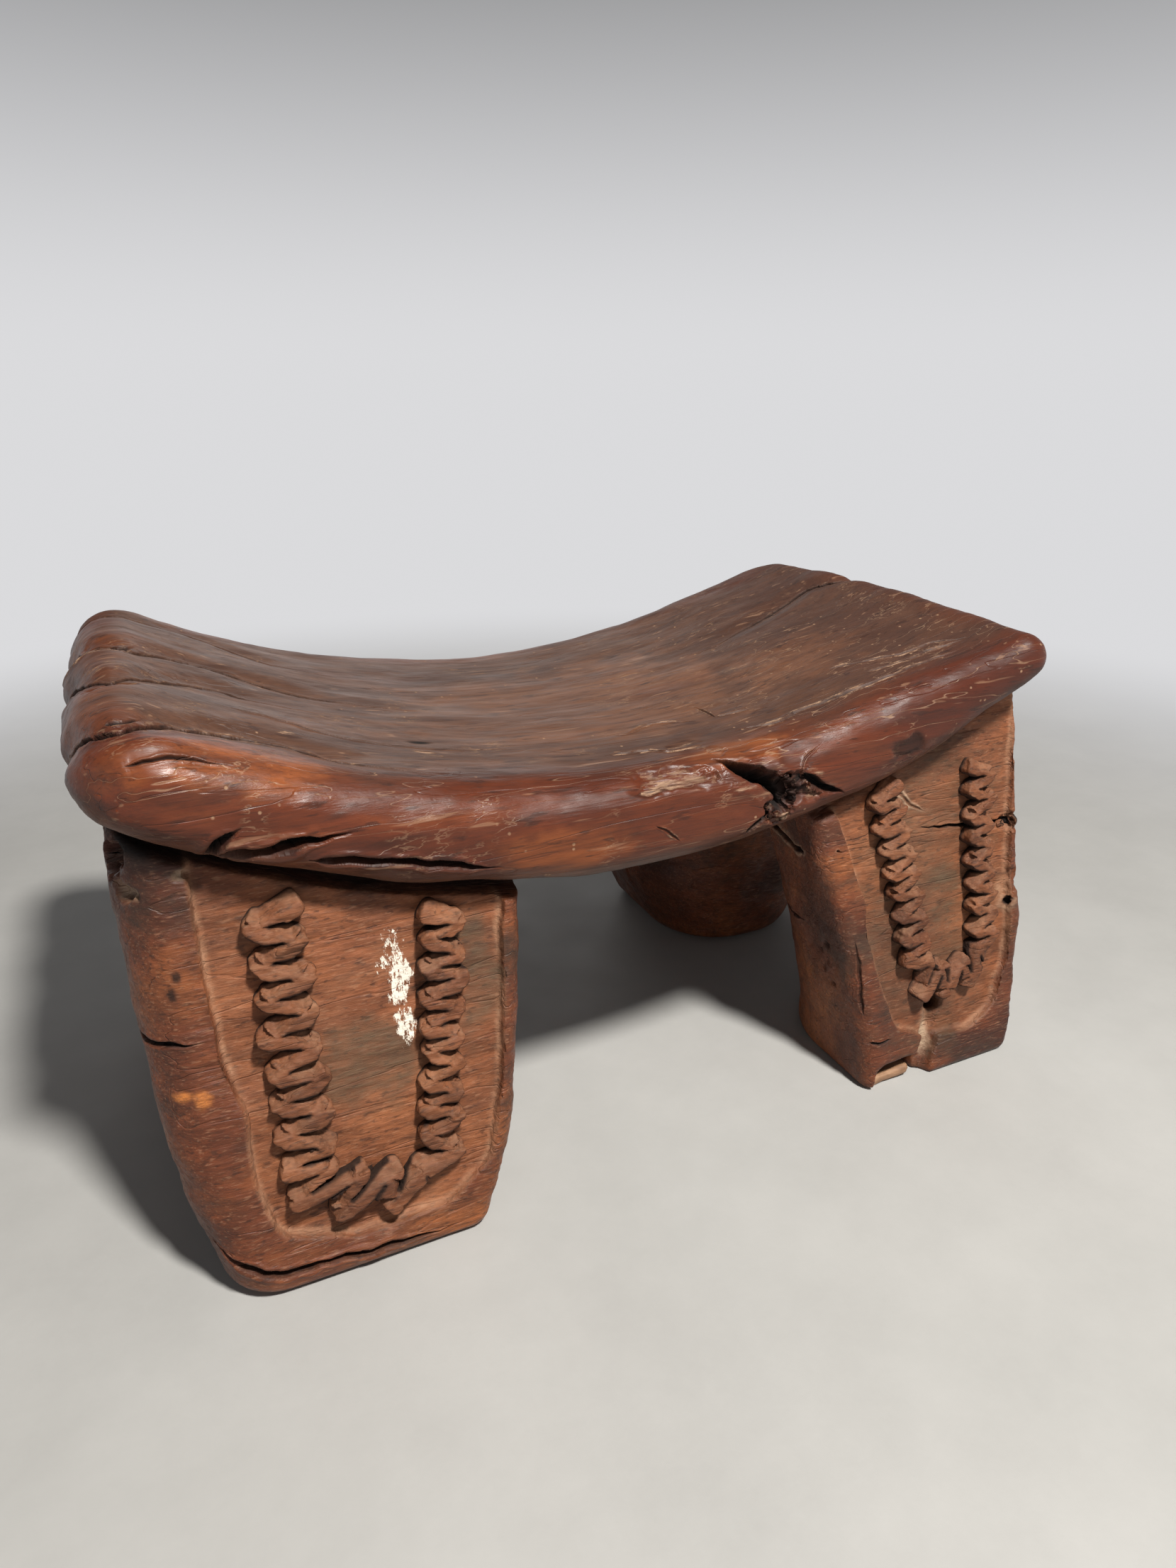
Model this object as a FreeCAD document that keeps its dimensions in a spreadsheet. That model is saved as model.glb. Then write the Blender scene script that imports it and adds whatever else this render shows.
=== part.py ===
"""Low saddle-shaped headrest carved in hardwood: a dished seat on four stout, splayed legs.

Frame: millimetres, +Z up, +X along the seat, -Y the front. The origin is on the ground
under the middle of the whole piece. The outer face of each leg leans back towards the seat
and carries a sunk panel with a raised zigzag band that runs down, across and up again.
"""
import FreeCAD, Part
import math
import os

import Sketcher

# Driving dimensions: alias, value, meaning.
COMMON_SIZES = [
    ("seat_length", 405, "whole length of the seat along X"),
    ("seat_width", 223, "whole depth of the seat along Y"),
    ("seat_setback", 5, "how far the middle of the seat lies behind the middle of the feet"),
    ("hollow_height", 176, "height of the lowest line of the dished top"),
    ("hollow_radius", 400, "radius of the dished top"),
    ("under_height", 136, "height of the lowest line of the underside"),
    ("under_radius", 400, "radius of the underside"),
    ("edge_radius", 15, "rounding of the long edges of the seat"),
    ("leg_loft_height", 190, "height at which the leg tops are laid out, inside the seat"),
    ("foot_face", 122, "distance of the carved face from the middle, at the ground"),
    ("top_face", 88, "the same, at the height of the leg tops"),
    ("foot_heel", 27, "distance of the inner side of a foot from the middle"),
    ("top_heel", 14, "the same, at the height of the leg tops"),
    ("face_corner", 8, "rounding of the leg corners beside the carved face"),
    ("heel_corner", 34, "rounding of the leg corners on the inner side"),
    ("panel_depth", 4, "depth of the sunk panel"),
    ("panel_foot", 16, "height of the rim under the panel, along the face"),
    ("panel_corner", 12, "rounding of the lower corners of the panel"),
    ("band_height", 6, "how far the zigzag band stands up from the panel"),
    ("band_foot", 38, "height of the lowest run of the band, along the face"),
    ("band_inset_top", 24, "distance of a column of the band from the panel's side, at the top"),
    ("band_inset_foot", 19, "the same, at the bottom"),
    ("band_half_width", 9, "half the width of the band"),
    ("band_pitch", 11, "distance from one tooth of the band to the next"),
    ("band_gap", 3, "clearance between the band and the underside of the seat"),
    ("slip_left", 110, "left side of the notch and the packing slip under the front right foot"),
    ("slip_width", 26, "width of the notch and the slip"),
    ("slip_depth", 24, "depth of the notch and the slip along Y"),
    ("slip_height", 6, "thickness of the slip"),
    ("notch_height", 11, "height of the notch above the ground"),
]

# Each leg was cut by eye, so each has its own widths. They are distances from the middle
# of the seat along X, at the ground (foot) and at the height of the leg tops (top).
LEG_SIZES = ("foot_inner", "foot_outer", "top_inner", "top_outer",
             "panel_foot_inner", "panel_foot_outer", "panel_top_inner", "panel_top_outer")
LEGS = {
    "front_left": (78, 175, 50, 197, 87, 165, 60, 174),
    "front_right": (107, 200, 74, 199, 124, 191, 84, 190),
    "back_left": (82, 178, 54, 194, 96, 169, 70, 180),
    "back_right": (91, 182, 48, 193, 102, 173, 66, 180),
}

doc = FreeCAD.newDocument("headrest")
sheet = doc.addObject("Spreadsheet::Sheet", "sizes")


def fill_sheet():
    rows = list(COMMON_SIZES)
    for leg_name, widths in LEGS.items():
        for size_name, width in zip(LEG_SIZES, widths):
            meaning = "%s leg, %s" % (leg_name.replace("_", " "), size_name.replace("_", " "))
            rows.append(("%s_%s" % (leg_name, size_name), width, meaning))
    for row, (alias, value, meaning) in enumerate(rows, start=1):
        sheet.set("A%d" % row, meaning)
        sheet.set("B%d" % row, str(value))
        sheet.setAlias("B%d" % row, alias)
    doc.recompute()


def size(alias):
    """The value of one cell, for the geometry that is worked out in code."""
    return float(sheet.get(alias))


def new_body(name):
    body = doc.addObject("PartDesign::Body", name)
    body.Label = name
    return body


def origin_plane(body, role):
    for feature in body.Origin.OriginFeatures:
        if feature.Role == role:
            return feature
    raise ValueError("no origin plane " + role)


def new_sketch(body, name, role):
    sketch = body.newObject("Sketcher::SketchObject", name)
    sketch.AttachmentSupport = [(origin_plane(body, role), "")]
    sketch.MapMode = "FlatFace"
    return sketch


def bind(sketch, constraint, expression):
    """Adds a dimension to a sketch and ties it to the sheet."""
    index = sketch.addConstraint(constraint)
    sketch.setExpression("Constraints[%d]" % index, expression)


def fix_point(sketch, line, end, x, y, x_expression, y_expression):
    """Ties one end of a line to distances from the sketch's origin."""
    origin = (-1, 1)
    point = (line, end)
    for kind, value, expression in (("DistanceX", x, x_expression), ("DistanceY", y, y_expression)):
        pair = origin + point if value >= 0 else point + origin
        bind(sketch, Sketcher.Constraint(kind, *pair, abs(value)), expression)


def add_polygon(sketch, corners):
    """A closed outline; each corner is x, y and the expressions of their distances."""
    points = [FreeCAD.Vector(x, y, 0) for x, y, _, _ in corners]
    count = len(corners)
    for i in range(count):
        sketch.addGeometry(Part.LineSegment(points[i], points[(i + 1) % count]), False)
    for i in range(count):
        sketch.addConstraint(Sketcher.Constraint("Coincident", i, 2, (i + 1) % count, 1))
    for i, (x, y, x_expression, y_expression) in enumerate(corners):
        fix_point(sketch, i, 1, x, y, x_expression, y_expression)


def round_edges(body, base, name, edges, radius_alias):
    """A fillet along the numbered edges of the body's last feature."""
    fillet = body.newObject("PartDesign::Fillet", name)
    fillet.Base = (base, ["Edge%d" % number for number in edges])
    fillet.Radius = size(radius_alias)
    fillet.setExpression("Radius", "sizes." + radius_alias)
    doc.recompute()
    return fillet


def edges_where(feature, wanted):
    return [i for i, edge in enumerate(feature.Shape.Edges, start=1) if wanted(edge)]


def tip_circle():
    """Centre and radius of the end arc that touches both the top and the underside."""
    half = size("seat_length") / 2
    under_r = size("under_radius")
    hollow_r = size("hollow_radius")
    under_z = size("under_height") + under_r
    hollow_z = size("hollow_height") + hollow_r
    low, high = 1.0, half
    while high - low > 1e-6:
        radius = (low + high) / 2
        centre_z = under_z - math.sqrt((under_r - radius) ** 2 - (half - radius) ** 2)
        gap = math.hypot(half - radius, hollow_z - centre_z) - hollow_r - radius
        if gap > 0:
            low = radius
        else:
            high = radius
    return half - radius, centre_z, radius


def underside_at(x):
    """Height of the seat's underside at a distance from its middle."""
    radius = size("under_radius")
    return size("under_height") + radius - math.sqrt(radius ** 2 - x ** 2)


def make_seat():
    """The dished seat: half a saddle outline padded across, mirrored and rounded."""
    body = new_body("seat")
    sketch = new_sketch(body, "seat_outline", "XZ_Plane")
    under_r = size("under_radius")
    hollow_r = size("hollow_radius")
    under_centre = FreeCAD.Vector(0, size("under_height") + under_r, 0)
    hollow_centre = FreeCAD.Vector(0, size("hollow_height") + hollow_r, 0)
    tip_x, tip_z, tip_r = tip_circle()
    tip_centre = FreeCAD.Vector(tip_x, tip_z, 0)
    up = FreeCAD.Vector(0, 0, 1)

    def angle(centre, point):
        return math.atan2(point.y - centre.y, point.x - centre.x)

    under_to_tip = (tip_centre - under_centre).normalize()
    tip_to_hollow = (hollow_centre - tip_centre).normalize()
    low_point = FreeCAD.Vector(0, size("under_height"), 0)
    high_point = FreeCAD.Vector(0, size("hollow_height"), 0)
    lower_touch = tip_centre + under_to_tip * tip_r
    upper_touch = tip_centre + tip_to_hollow * tip_r
    geometry = [
        Part.LineSegment(high_point, low_point),
        Part.ArcOfCircle(Part.Circle(under_centre, up, under_r),
                         -math.pi / 2, angle(under_centre, lower_touch)),
        Part.ArcOfCircle(Part.Circle(tip_centre, up, tip_r),
                         angle(tip_centre, lower_touch), angle(tip_centre, upper_touch)),
        Part.ArcOfCircle(Part.Circle(hollow_centre, up, hollow_r),
                         -math.pi / 2, angle(hollow_centre, upper_touch)),
    ]
    middle, under, tip, hollow = sketch.addGeometry(geometry, False)
    half = size("seat_length") / 2
    limit_line = Part.LineSegment(
        FreeCAD.Vector(half, tip_z - tip_r, 0),
        FreeCAD.Vector(half, tip_z + tip_r, 0),
    )
    limit = sketch.addGeometry(limit_line, True)
    start, end, centre = 1, 2, 3
    vertical_axis = -2
    for constraint in (
        Sketcher.Constraint("Coincident", middle, end, under, start),
        Sketcher.Constraint("Coincident", middle, start, hollow, start),
        Sketcher.Constraint("Tangent", under, end, tip, start),
        Sketcher.Constraint("Tangent", tip, end, hollow, end),
        Sketcher.Constraint("PointOnObject", middle, start, vertical_axis),
        Sketcher.Constraint("PointOnObject", middle, end, vertical_axis),
        Sketcher.Constraint("PointOnObject", under, centre, vertical_axis),
        Sketcher.Constraint("PointOnObject", hollow, centre, vertical_axis),
        Sketcher.Constraint("Vertical", limit),
        Sketcher.Constraint("Tangent", tip, limit),
    ):
        sketch.addConstraint(constraint)
    bind(sketch, Sketcher.Constraint("Radius", under, under_r), "sizes.under_radius")
    bind(sketch, Sketcher.Constraint("Radius", hollow, hollow_r), "sizes.hollow_radius")
    bind(sketch, Sketcher.Constraint("DistanceY", -1, 1, middle, end, low_point.y), "sizes.under_height")
    height = Sketcher.Constraint("DistanceY", -1, 1, middle, start, high_point.y)
    bind(sketch, height, "sizes.hollow_height")
    bind(sketch, Sketcher.Constraint("DistanceX", -1, 1, limit, start, half), "sizes.seat_length / 2")
    doc.recompute()

    pad = body.newObject("PartDesign::Pad", "seat_half")
    pad.Profile = sketch
    pad.Midplane = True
    pad.setExpression("Length", "sizes.seat_width")
    doc.recompute()
    mirror = body.newObject("PartDesign::Mirrored", "seat_other_half")
    mirror.Originals = [pad]
    mirror.MirrorPlane = (origin_plane(body, "YZ_Plane"), [""])
    mirror.Refine = True
    body.Tip = mirror
    doc.recompute()

    side = size("seat_width") / 2
    long_edges = edges_where(mirror, lambda edge: edge.BoundBox.YLength < 0.01
                             and abs(abs(edge.CenterOfMass.y) - side) < 0.01)
    round_edges(body, mirror, "seat_rounding", long_edges, "edge_radius")
    body.setExpression("Placement.Base.y", "sizes.seat_setback")
    return body


def leg_section(body, name, side, prefix, level, front_alias, back_alias):
    """The rounded four-sided outline of a leg at the ground or at the leg tops."""
    sketch = new_sketch(body, name, "XY_Plane")
    inner_alias = "%s_%s_inner" % (prefix, level)
    outer_alias = "%s_%s_outer" % (prefix, level)
    edges = {"inner": side * size(inner_alias), "outer": side * size(outer_alias)}
    left_name, right_name = ("inner", "outer") if side > 0 else ("outer", "inner")
    left, right = edges[left_name], edges[right_name]
    front, back = -size(front_alias), -size(back_alias)
    face_r, heel_r = size("face_corner"), size("heel_corner")
    up = FreeCAD.Vector(0, 0, 1)

    def line(x1, y1, x2, y2):
        return Part.LineSegment(FreeCAD.Vector(x1, y1, 0), FreeCAD.Vector(x2, y2, 0))

    def arc(x, y, radius, quarter):
        circle = Part.Circle(FreeCAD.Vector(x, y, 0), up, radius)
        return Part.ArcOfCircle(circle, quarter * math.pi / 2, (quarter + 1) * math.pi / 2)

    sketch.addGeometry([
        line(left + face_r, front, right - face_r, front),
        arc(right - face_r, front + face_r, face_r, 3),
        line(right, front + face_r, right, back - heel_r),
        arc(right - heel_r, back - heel_r, heel_r, 0),
        line(right - heel_r, back, left + heel_r, back),
        arc(left + heel_r, back - heel_r, heel_r, 1),
        line(left, back - heel_r, left, front + face_r),
        arc(left + face_r, front + face_r, face_r, 2),
    ], False)
    front_line, right_line, back_line, left_line = 0, 2, 4, 6
    for i in range(8):
        sketch.addConstraint(Sketcher.Constraint("Tangent", i, 2, (i + 1) % 8, 1))
    for i in (front_line, back_line):
        sketch.addConstraint(Sketcher.Constraint("Horizontal", i))
    for i in (left_line, right_line):
        sketch.addConstraint(Sketcher.Constraint("Vertical", i))
    for i, alias in ((1, "face_corner"), (3, "heel_corner"), (5, "heel_corner"), (7, "face_corner")):
        bind(sketch, Sketcher.Constraint("Radius", i, size(alias)), "sizes." + alias)
    aliases = {"inner": inner_alias, "outer": outer_alias}
    for i, kind, value, alias in (
        (left_line, "DistanceX", left, aliases[left_name]),
        (right_line, "DistanceX", right, aliases[right_name]),
        (front_line, "DistanceY", front, front_alias),
        (back_line, "DistanceY", back, back_alias),
    ):
        pair = (-1, 1, i, 1) if value >= 0 else (i, 1, -1, 1)
        bind(sketch, Sketcher.Constraint(kind, *pair, abs(value)), "sizes." + alias)
    return sketch


def trim_under_seat(body):
    """Cuts the leg's top to the curve of the seat's underside, so that the two meet."""
    radius = size("under_radius")
    centre_y = size("under_height") + radius
    reach = size("seat_length") / 2 + 20
    ceiling = centre_y
    arc_end_y = underside_at(reach)
    half_angle = math.asin(reach / radius)
    sketch = new_sketch(body, body.Name + "_top_line", "XZ_Plane")
    circle = Part.Circle(FreeCAD.Vector(0, centre_y, 0), FreeCAD.Vector(0, 0, 1), radius)
    arc = sketch.addGeometry(
        Part.ArcOfCircle(circle, -math.pi / 2 - half_angle, -math.pi / 2 + half_angle), False)
    corners = [FreeCAD.Vector(reach, arc_end_y, 0), FreeCAD.Vector(reach, ceiling, 0),
               FreeCAD.Vector(-reach, ceiling, 0), FreeCAD.Vector(-reach, arc_end_y, 0)]
    lines = [sketch.addGeometry(Part.LineSegment(a, b), False) for a, b in zip(corners, corners[1:])]
    right, top, left = lines
    for constraint in (
        Sketcher.Constraint("Coincident", arc, 2, right, 1),
        Sketcher.Constraint("Coincident", right, 2, top, 1),
        Sketcher.Constraint("Coincident", top, 2, left, 1),
        Sketcher.Constraint("Coincident", left, 2, arc, 1),
        Sketcher.Constraint("Vertical", right),
        Sketcher.Constraint("Vertical", left),
        Sketcher.Constraint("Horizontal", top),
        Sketcher.Constraint("PointOnObject", arc, 3, -2),
    ):
        sketch.addConstraint(constraint)
    bind(sketch, Sketcher.Constraint("Radius", arc, radius), "sizes.under_radius")
    bind(sketch, Sketcher.Constraint("DistanceY", -1, 1, arc, 3, centre_y),
         "sizes.under_height + sizes.under_radius")
    bind(sketch, Sketcher.Constraint("DistanceX", -1, 1, right, 1, reach), "sizes.seat_length / 2 + 20")
    bind(sketch, Sketcher.Constraint("DistanceY", -1, 1, top, 1, ceiling),
         "sizes.under_height + sizes.under_radius")
    doc.recompute()
    pocket = body.newObject("PartDesign::Pocket", body.Name + "_top_cut")
    pocket.Profile = sketch
    pocket.Type = "ThroughAll"
    pocket.Midplane = True
    doc.recompute()
    return pocket


def lean_angle():
    """How far the carved face leans back from upright, in degrees."""
    return math.degrees(math.atan((size("foot_face") - size("top_face")) / size("leg_loft_height")))


def sink_panel(body, prefix, side):
    """Sinks the panel into the leaning outer face; its top runs out under the seat."""
    sketch = new_sketch(body, body.Name + "_panel_outline", "XZ_Plane")
    sketch.AttachmentOffset = FreeCAD.Placement(
        FreeCAD.Vector(0, 0, size("foot_face")), FreeCAD.Rotation(FreeCAD.Vector(-1, 0, 0), lean_angle()))
    sketch.setExpression("AttachmentOffset.Base.z", "sizes.foot_face")
    sketch.setExpression("AttachmentOffset.Rotation.Angle",
                         "atan((sizes.foot_face - sizes.top_face) / sizes.leg_loft_height)")
    top = size("leg_loft_height") + 20
    bottom = size("panel_foot")

    def corner(level, edge, height, height_expression):
        alias = "%s_panel_%s_%s" % (prefix, level, edge)
        return (side * size(alias), height, "sizes." + alias, height_expression)

    add_polygon(sketch, [
        corner("foot", "inner", bottom, "sizes.panel_foot"),
        corner("foot", "outer", bottom, "sizes.panel_foot"),
        corner("top", "outer", top, "sizes.leg_loft_height + 20"),
        corner("top", "inner", top, "sizes.leg_loft_height + 20"),
    ])
    doc.recompute()
    before = body.Shape.Volume
    pocket = body.newObject("PartDesign::Pocket", body.Name + "_panel")
    pocket.Profile = sketch
    pocket.setExpression("Length", "sizes.panel_depth")
    doc.recompute()
    if body.Shape.Volume > before - 1000:
        raise ValueError("the panel of %s cut nothing" % body.Name)
    depth = size("panel_depth")
    low_edges = edges_where(pocket, lambda edge: abs(edge.Length - depth) < 0.05
                            and edge.CenterOfMass.z < size("panel_foot") + depth)
    if len(low_edges) != 2:
        raise ValueError("%s: %d lower panel corners" % (body.Name, len(low_edges)))
    return round_edges(body, pocket, body.Name + "_panel_corners", low_edges, "panel_corner")


def cut_notch(body):
    """The broken notch under the front right foot, in which the packing slip sits."""
    sketch = new_sketch(body, "notch_outline", "XY_Plane")
    left = size("slip_left")
    right = left + size("slip_width")
    back = -(size("foot_face") - size("slip_depth"))
    front = -(size("foot_face") + 10)
    right_expression = "sizes.slip_left + sizes.slip_width"
    back_expression = "sizes.foot_face - sizes.slip_depth"
    front_expression = "sizes.foot_face + 10"
    add_polygon(sketch, [
        (left, front, "sizes.slip_left", front_expression),
        (right, front, right_expression, front_expression),
        (right, back, right_expression, back_expression),
        (left, back, "sizes.slip_left", back_expression),
    ])
    doc.recompute()
    before = body.Shape.Volume
    pocket = body.newObject("PartDesign::Pocket", "notch")
    pocket.Profile = sketch
    pocket.Reversed = True
    pocket.setExpression("Length", "sizes.notch_height")
    doc.recompute()
    if body.Shape.Volume > before - 1000:
        raise ValueError("the notch cut nothing")
    return pocket


def make_leg(prefix):
    """A stout tapering leg. The back legs are laid out at the front and turned half round."""
    turned = prefix.startswith("back")
    side = 1 if prefix in ("front_right", "back_left") else -1
    body = new_body(prefix + "_leg")
    foot = leg_section(body, body.Name + "_foot", side, prefix, "foot", "foot_face", "foot_heel")
    top = leg_section(body, body.Name + "_top", side, prefix, "top", "top_face", "top_heel")
    top.AttachmentOffset = FreeCAD.Placement(
        FreeCAD.Vector(0, 0, size("leg_loft_height")), FreeCAD.Rotation())
    top.setExpression("AttachmentOffset.Base.z", "sizes.leg_loft_height")
    doc.recompute()
    loft = body.newObject("PartDesign::AdditiveLoft", body.Name + "_loft")
    loft.Profile = foot
    loft.Sections = [top]
    loft.Ruled = True
    doc.recompute()

    trim_under_seat(body)
    sink_panel(body, prefix, side)
    if prefix == "front_right":
        cut_notch(body)
    if turned:
        body.Placement = FreeCAD.Placement(
            FreeCAD.Vector(0, 0, 0), FreeCAD.Rotation(FreeCAD.Vector(0, 0, 1), 180))
    return body


def band_route(prefix, side):
    """Centre line of the zigzag band on the leaning face: down, across and up again."""
    lean = math.radians(lean_angle())
    foot_level = size("panel_foot")
    top_level = size("leg_loft_height") + 20

    def column(edge, inset_sign):
        foot_x = size("%s_panel_foot_%s" % (prefix, edge)) + inset_sign * size("band_inset_foot")
        top_x = size("%s_panel_top_%s" % (prefix, edge)) + inset_sign * size("band_inset_top")
        outer_end = max(foot_x, top_x)
        inner_end = min(foot_x, top_x)
        reach = outer_end if edge == "outer" else inner_end
        clear = underside_at(max(reach - size("band_half_width"), 0)) - size("band_gap")
        high = clear / math.cos(lean)

        def at(height):
            part = (height - foot_level) / (top_level - foot_level)
            return FreeCAD.Vector(side * (foot_x + part * (top_x - foot_x)), height, 0)

        low = size("band_foot")
        return at(high), at(low + 3.5 * size("band_half_width")), at(low)

    outer_top, outer_bend, outer_low = column("outer", -1)
    inner_top, inner_bend, inner_low = column("inner", 1)
    poles = [outer_top, outer_bend, outer_low, inner_low, inner_bend, inner_top]
    curve = Part.BSplineCurve()
    spans = len(poles) - 2
    curve.buildFromPolesMultsKnots(poles, [3] + [1] * (spans - 1) + [3], list(range(spans + 1)), False, 2)
    return curve


def make_band(prefix):
    """The raised zigzag band of one leg: a ribbon with notches cut in turn from each side."""
    turned = prefix.startswith("back")
    side = 1 if prefix in ("front_right", "back_left") else -1
    route = band_route(prefix, side)
    half = size("band_half_width")
    length = route.length()
    teeth = 2 * int(round(length / size("band_pitch"))) + 1
    step = length / (teeth + 1)
    tooth_half = 0.62 * step
    notch_tip = 0.15 * half

    def beside(distance, offset):
        parameter = route.parameterAtDistance(distance, route.FirstParameter)
        tangent = route.tangent(parameter)[0]
        normal = FreeCAD.Vector(-tangent.y, tangent.x, 0)
        return route.value(parameter) + normal * offset

    near_side = []
    far_side = []
    for i in range(1, teeth + 1):
        here = i * step
        blunt, sharp = (near_side, far_side) if i % 2 else (far_side, near_side)
        sign = 1 if i % 2 else -1
        blunt.append(beside(here - tooth_half, sign * half))
        blunt.append(beside(here + tooth_half, sign * half))
        sharp.append(beside(here, sign * notch_tip))
    outline = near_side + far_side[::-1]
    face = Part.Face(Part.makePolygon(outline + outline[:1]))
    band = doc.addObject("Part::Feature", prefix + "_band")
    band.Label = prefix + "_band"
    band.Shape = face.extrude(FreeCAD.Vector(0, 0, size("band_height")))
    lean = FreeCAD.Rotation(FreeCAD.Vector(1, 0, 0), 90 - lean_angle())
    inward = FreeCAD.Rotation(FreeCAD.Vector(1, 0, 0), -lean_angle()).multVec(FreeCAD.Vector(0, 1, 0))
    panel_floor = FreeCAD.Vector(0, -size("foot_face"), 0) + inward * size("panel_depth")
    place = FreeCAD.Placement(panel_floor, lean)
    if turned:
        place = FreeCAD.Placement(
            FreeCAD.Vector(0, 0, 0), FreeCAD.Rotation(FreeCAD.Vector(0, 0, 1), 180)).multiply(place)
    band.Placement = place
    return band


def make_slip():
    """The thin slip of pale wood that packs up the front right foot."""
    slip = doc.addObject("Part::Box", "foot_slip")
    slip.Label = "foot_slip"
    slip.setExpression("Length", "sizes.slip_width")
    slip.setExpression("Width", "sizes.slip_depth")
    slip.setExpression("Height", "sizes.slip_height")
    slip.setExpression("Placement.Base.x", "sizes.slip_left")
    slip.setExpression("Placement.Base.y", "-sizes.foot_face")
    return slip


def main():
    fill_sheet()
    nodes = [make_seat()]
    nodes += [make_leg(prefix) for prefix in LEGS]
    nodes += [make_band(prefix) for prefix in LEGS]
    nodes.append(make_slip())
    doc.recompute()
    for item in doc.Objects:
        if "Invalid" in item.State or "Error" in item.State:
            raise ValueError("%s failed: %s" % (item.Label, item.State))
    for node in nodes:
        if node.Shape.isNull() or not node.Shape.isValid() or len(node.Shape.Solids) != 1:
            raise ValueError("%s has a bad shape" % node.Label)
    os.makedirs("parts", exist_ok=True)
    for node in nodes:
        node.Shape.exportStep("parts/%s.step" % node.Label)
        box = node.Shape.BoundBox
        print("%-18s volume %9.0f  X %7.1f..%7.1f  Y %7.1f..%7.1f  Z %6.1f..%6.1f" % (
            node.Label, node.Shape.Volume, box.XMin, box.XMax, box.YMin, box.YMax, box.ZMin, box.ZMax))


main()
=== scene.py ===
"""Low carved headrest: a worn, dished seat on four splayed legs with raised zigzag bands."""
import math

import bpy
import numpy as np
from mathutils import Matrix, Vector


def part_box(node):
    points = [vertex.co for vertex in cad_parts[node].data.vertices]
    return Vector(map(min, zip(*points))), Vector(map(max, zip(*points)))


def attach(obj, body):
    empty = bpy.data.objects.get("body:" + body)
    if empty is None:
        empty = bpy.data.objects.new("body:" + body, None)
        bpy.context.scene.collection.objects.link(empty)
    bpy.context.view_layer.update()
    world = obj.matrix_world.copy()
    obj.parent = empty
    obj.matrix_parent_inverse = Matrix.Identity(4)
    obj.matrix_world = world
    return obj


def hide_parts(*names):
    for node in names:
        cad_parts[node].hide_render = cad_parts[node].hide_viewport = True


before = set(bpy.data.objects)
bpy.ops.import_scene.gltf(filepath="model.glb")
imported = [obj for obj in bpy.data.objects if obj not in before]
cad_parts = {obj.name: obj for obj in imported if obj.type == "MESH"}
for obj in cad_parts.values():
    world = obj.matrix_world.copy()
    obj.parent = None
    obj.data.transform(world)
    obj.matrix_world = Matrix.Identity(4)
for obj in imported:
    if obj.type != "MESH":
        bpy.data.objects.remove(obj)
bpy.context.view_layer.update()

import openvdb

MM = 0.001
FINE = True

# ---------------------------------------------------------------- sizes, in millimetres
SEAT_LOW, SEAT_HIGH = (np.array(corner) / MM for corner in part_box("seat"))
SEAT_HALF_WIDTH = (SEAT_HIGH[1] - SEAT_LOW[1]) / 2
SEAT_MID_Y = (SEAT_HIGH[1] + SEAT_LOW[1]) / 2
ARC_RADIUS = 400.0
UNDER_HEIGHT = SEAT_LOW[2]
SEAT_THICKNESS = 40.0
ARC_CENTRE_Z = UNDER_HEIGHT + SEAT_THICKNESS / 2 + ARC_RADIUS
END_RADIUS = 17.0
HALF_ARC = ARC_RADIUS * math.asin((SEAT_HIGH[0] - END_RADIUS) / ARC_RADIUS) + END_RADIUS
# Rounds of the seat: its corners seen from above, then the edges of its top and its underside.
FRONT_LEFT, FRONT_RIGHT, BACK_LEFT, BACK_RIGHT = 28.0, 11.0, 24.0, 26.0
TOP_ROUND, UNDER_ROUND = 19.5, 13.5

# A leg's front face and its back, by their distance from the middle at the floor and their lean.
FOOT_FACE, FACE_SLOPE = 122.0, 0.179
FOOT_HEEL, HEEL_SLOPE = 27.0, 0.068
FACE_COS = 1 / math.hypot(1, FACE_SLOPE)
FACE_SIN = FACE_SLOPE * FACE_COS
# Rounds of a leg's upright edges, all but the outer one at the front.
INNER_FRONT, OUTER_BACK, INNER_BACK = 9.0, 34.0, 60.0
PANEL_DEPTH = 4.2
PANEL_ROUND = 9.0       # how far the panel's edge stands outside its corner points
# Ends of a leg's grid, up its face and out of it.
LEG_LOW, LEG_HIGH = -14.0, 196.0
LEG_DEEP, LEG_PROUD = -106.0, 8.0
BAND_HEIGHT = 6.6
STROKE = 4.4            # half the width of a band's stroke
BLUNT = 3.5             # how square the ends of each stroke are: 2 is round
# Each cut between two strokes starts short of the tip, runs past them, and widens from its point.
CUT_START, CUT_EXTRA = 3.4, 3.5
CUT_POINT, CUT_FLARE = 0.15, 0.75
VOXEL, FINE_VOXEL, SLIP_VOXEL = (1.1, 0.6, 0.7) if FINE else (2.2, 1.2, 1.3)
MARGIN, SLIP_MARGIN = 6.0, 3.0     # free space round a shape on its grid
FAR = 1e9
FIELD_REACH = 6.0       # signed distances are kept within this many millimetres
LINE_STEP = 1.5         # spacing of the points along a crack
SNAP_REACH = 9.0        # how far a crack's line is looked for on the surface

# ---------------------------------------------------------------- surroundings, in metres
FLOOR_RADIUS = 1.35
WALL_COLOUR = (0.98, 0.98, 1.0, 1.0)
WALL_LIGHT, CEILING_LIGHT = 0.72, 0.10
WALL_HEIGHT, CEILING_HEIGHT = 0.02, 0.50     # where they end and begin: 0 is level, 1 straight up
CAMERA_PLACE = (-0.1746, -0.4147, 0.3151)
CAMERA_DOWN, CAMERA_RIGHT = 21.84, 24.82     # degrees
LENS, SENSOR_WIDTH = 22.8, 36.0              # millimetres

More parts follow.
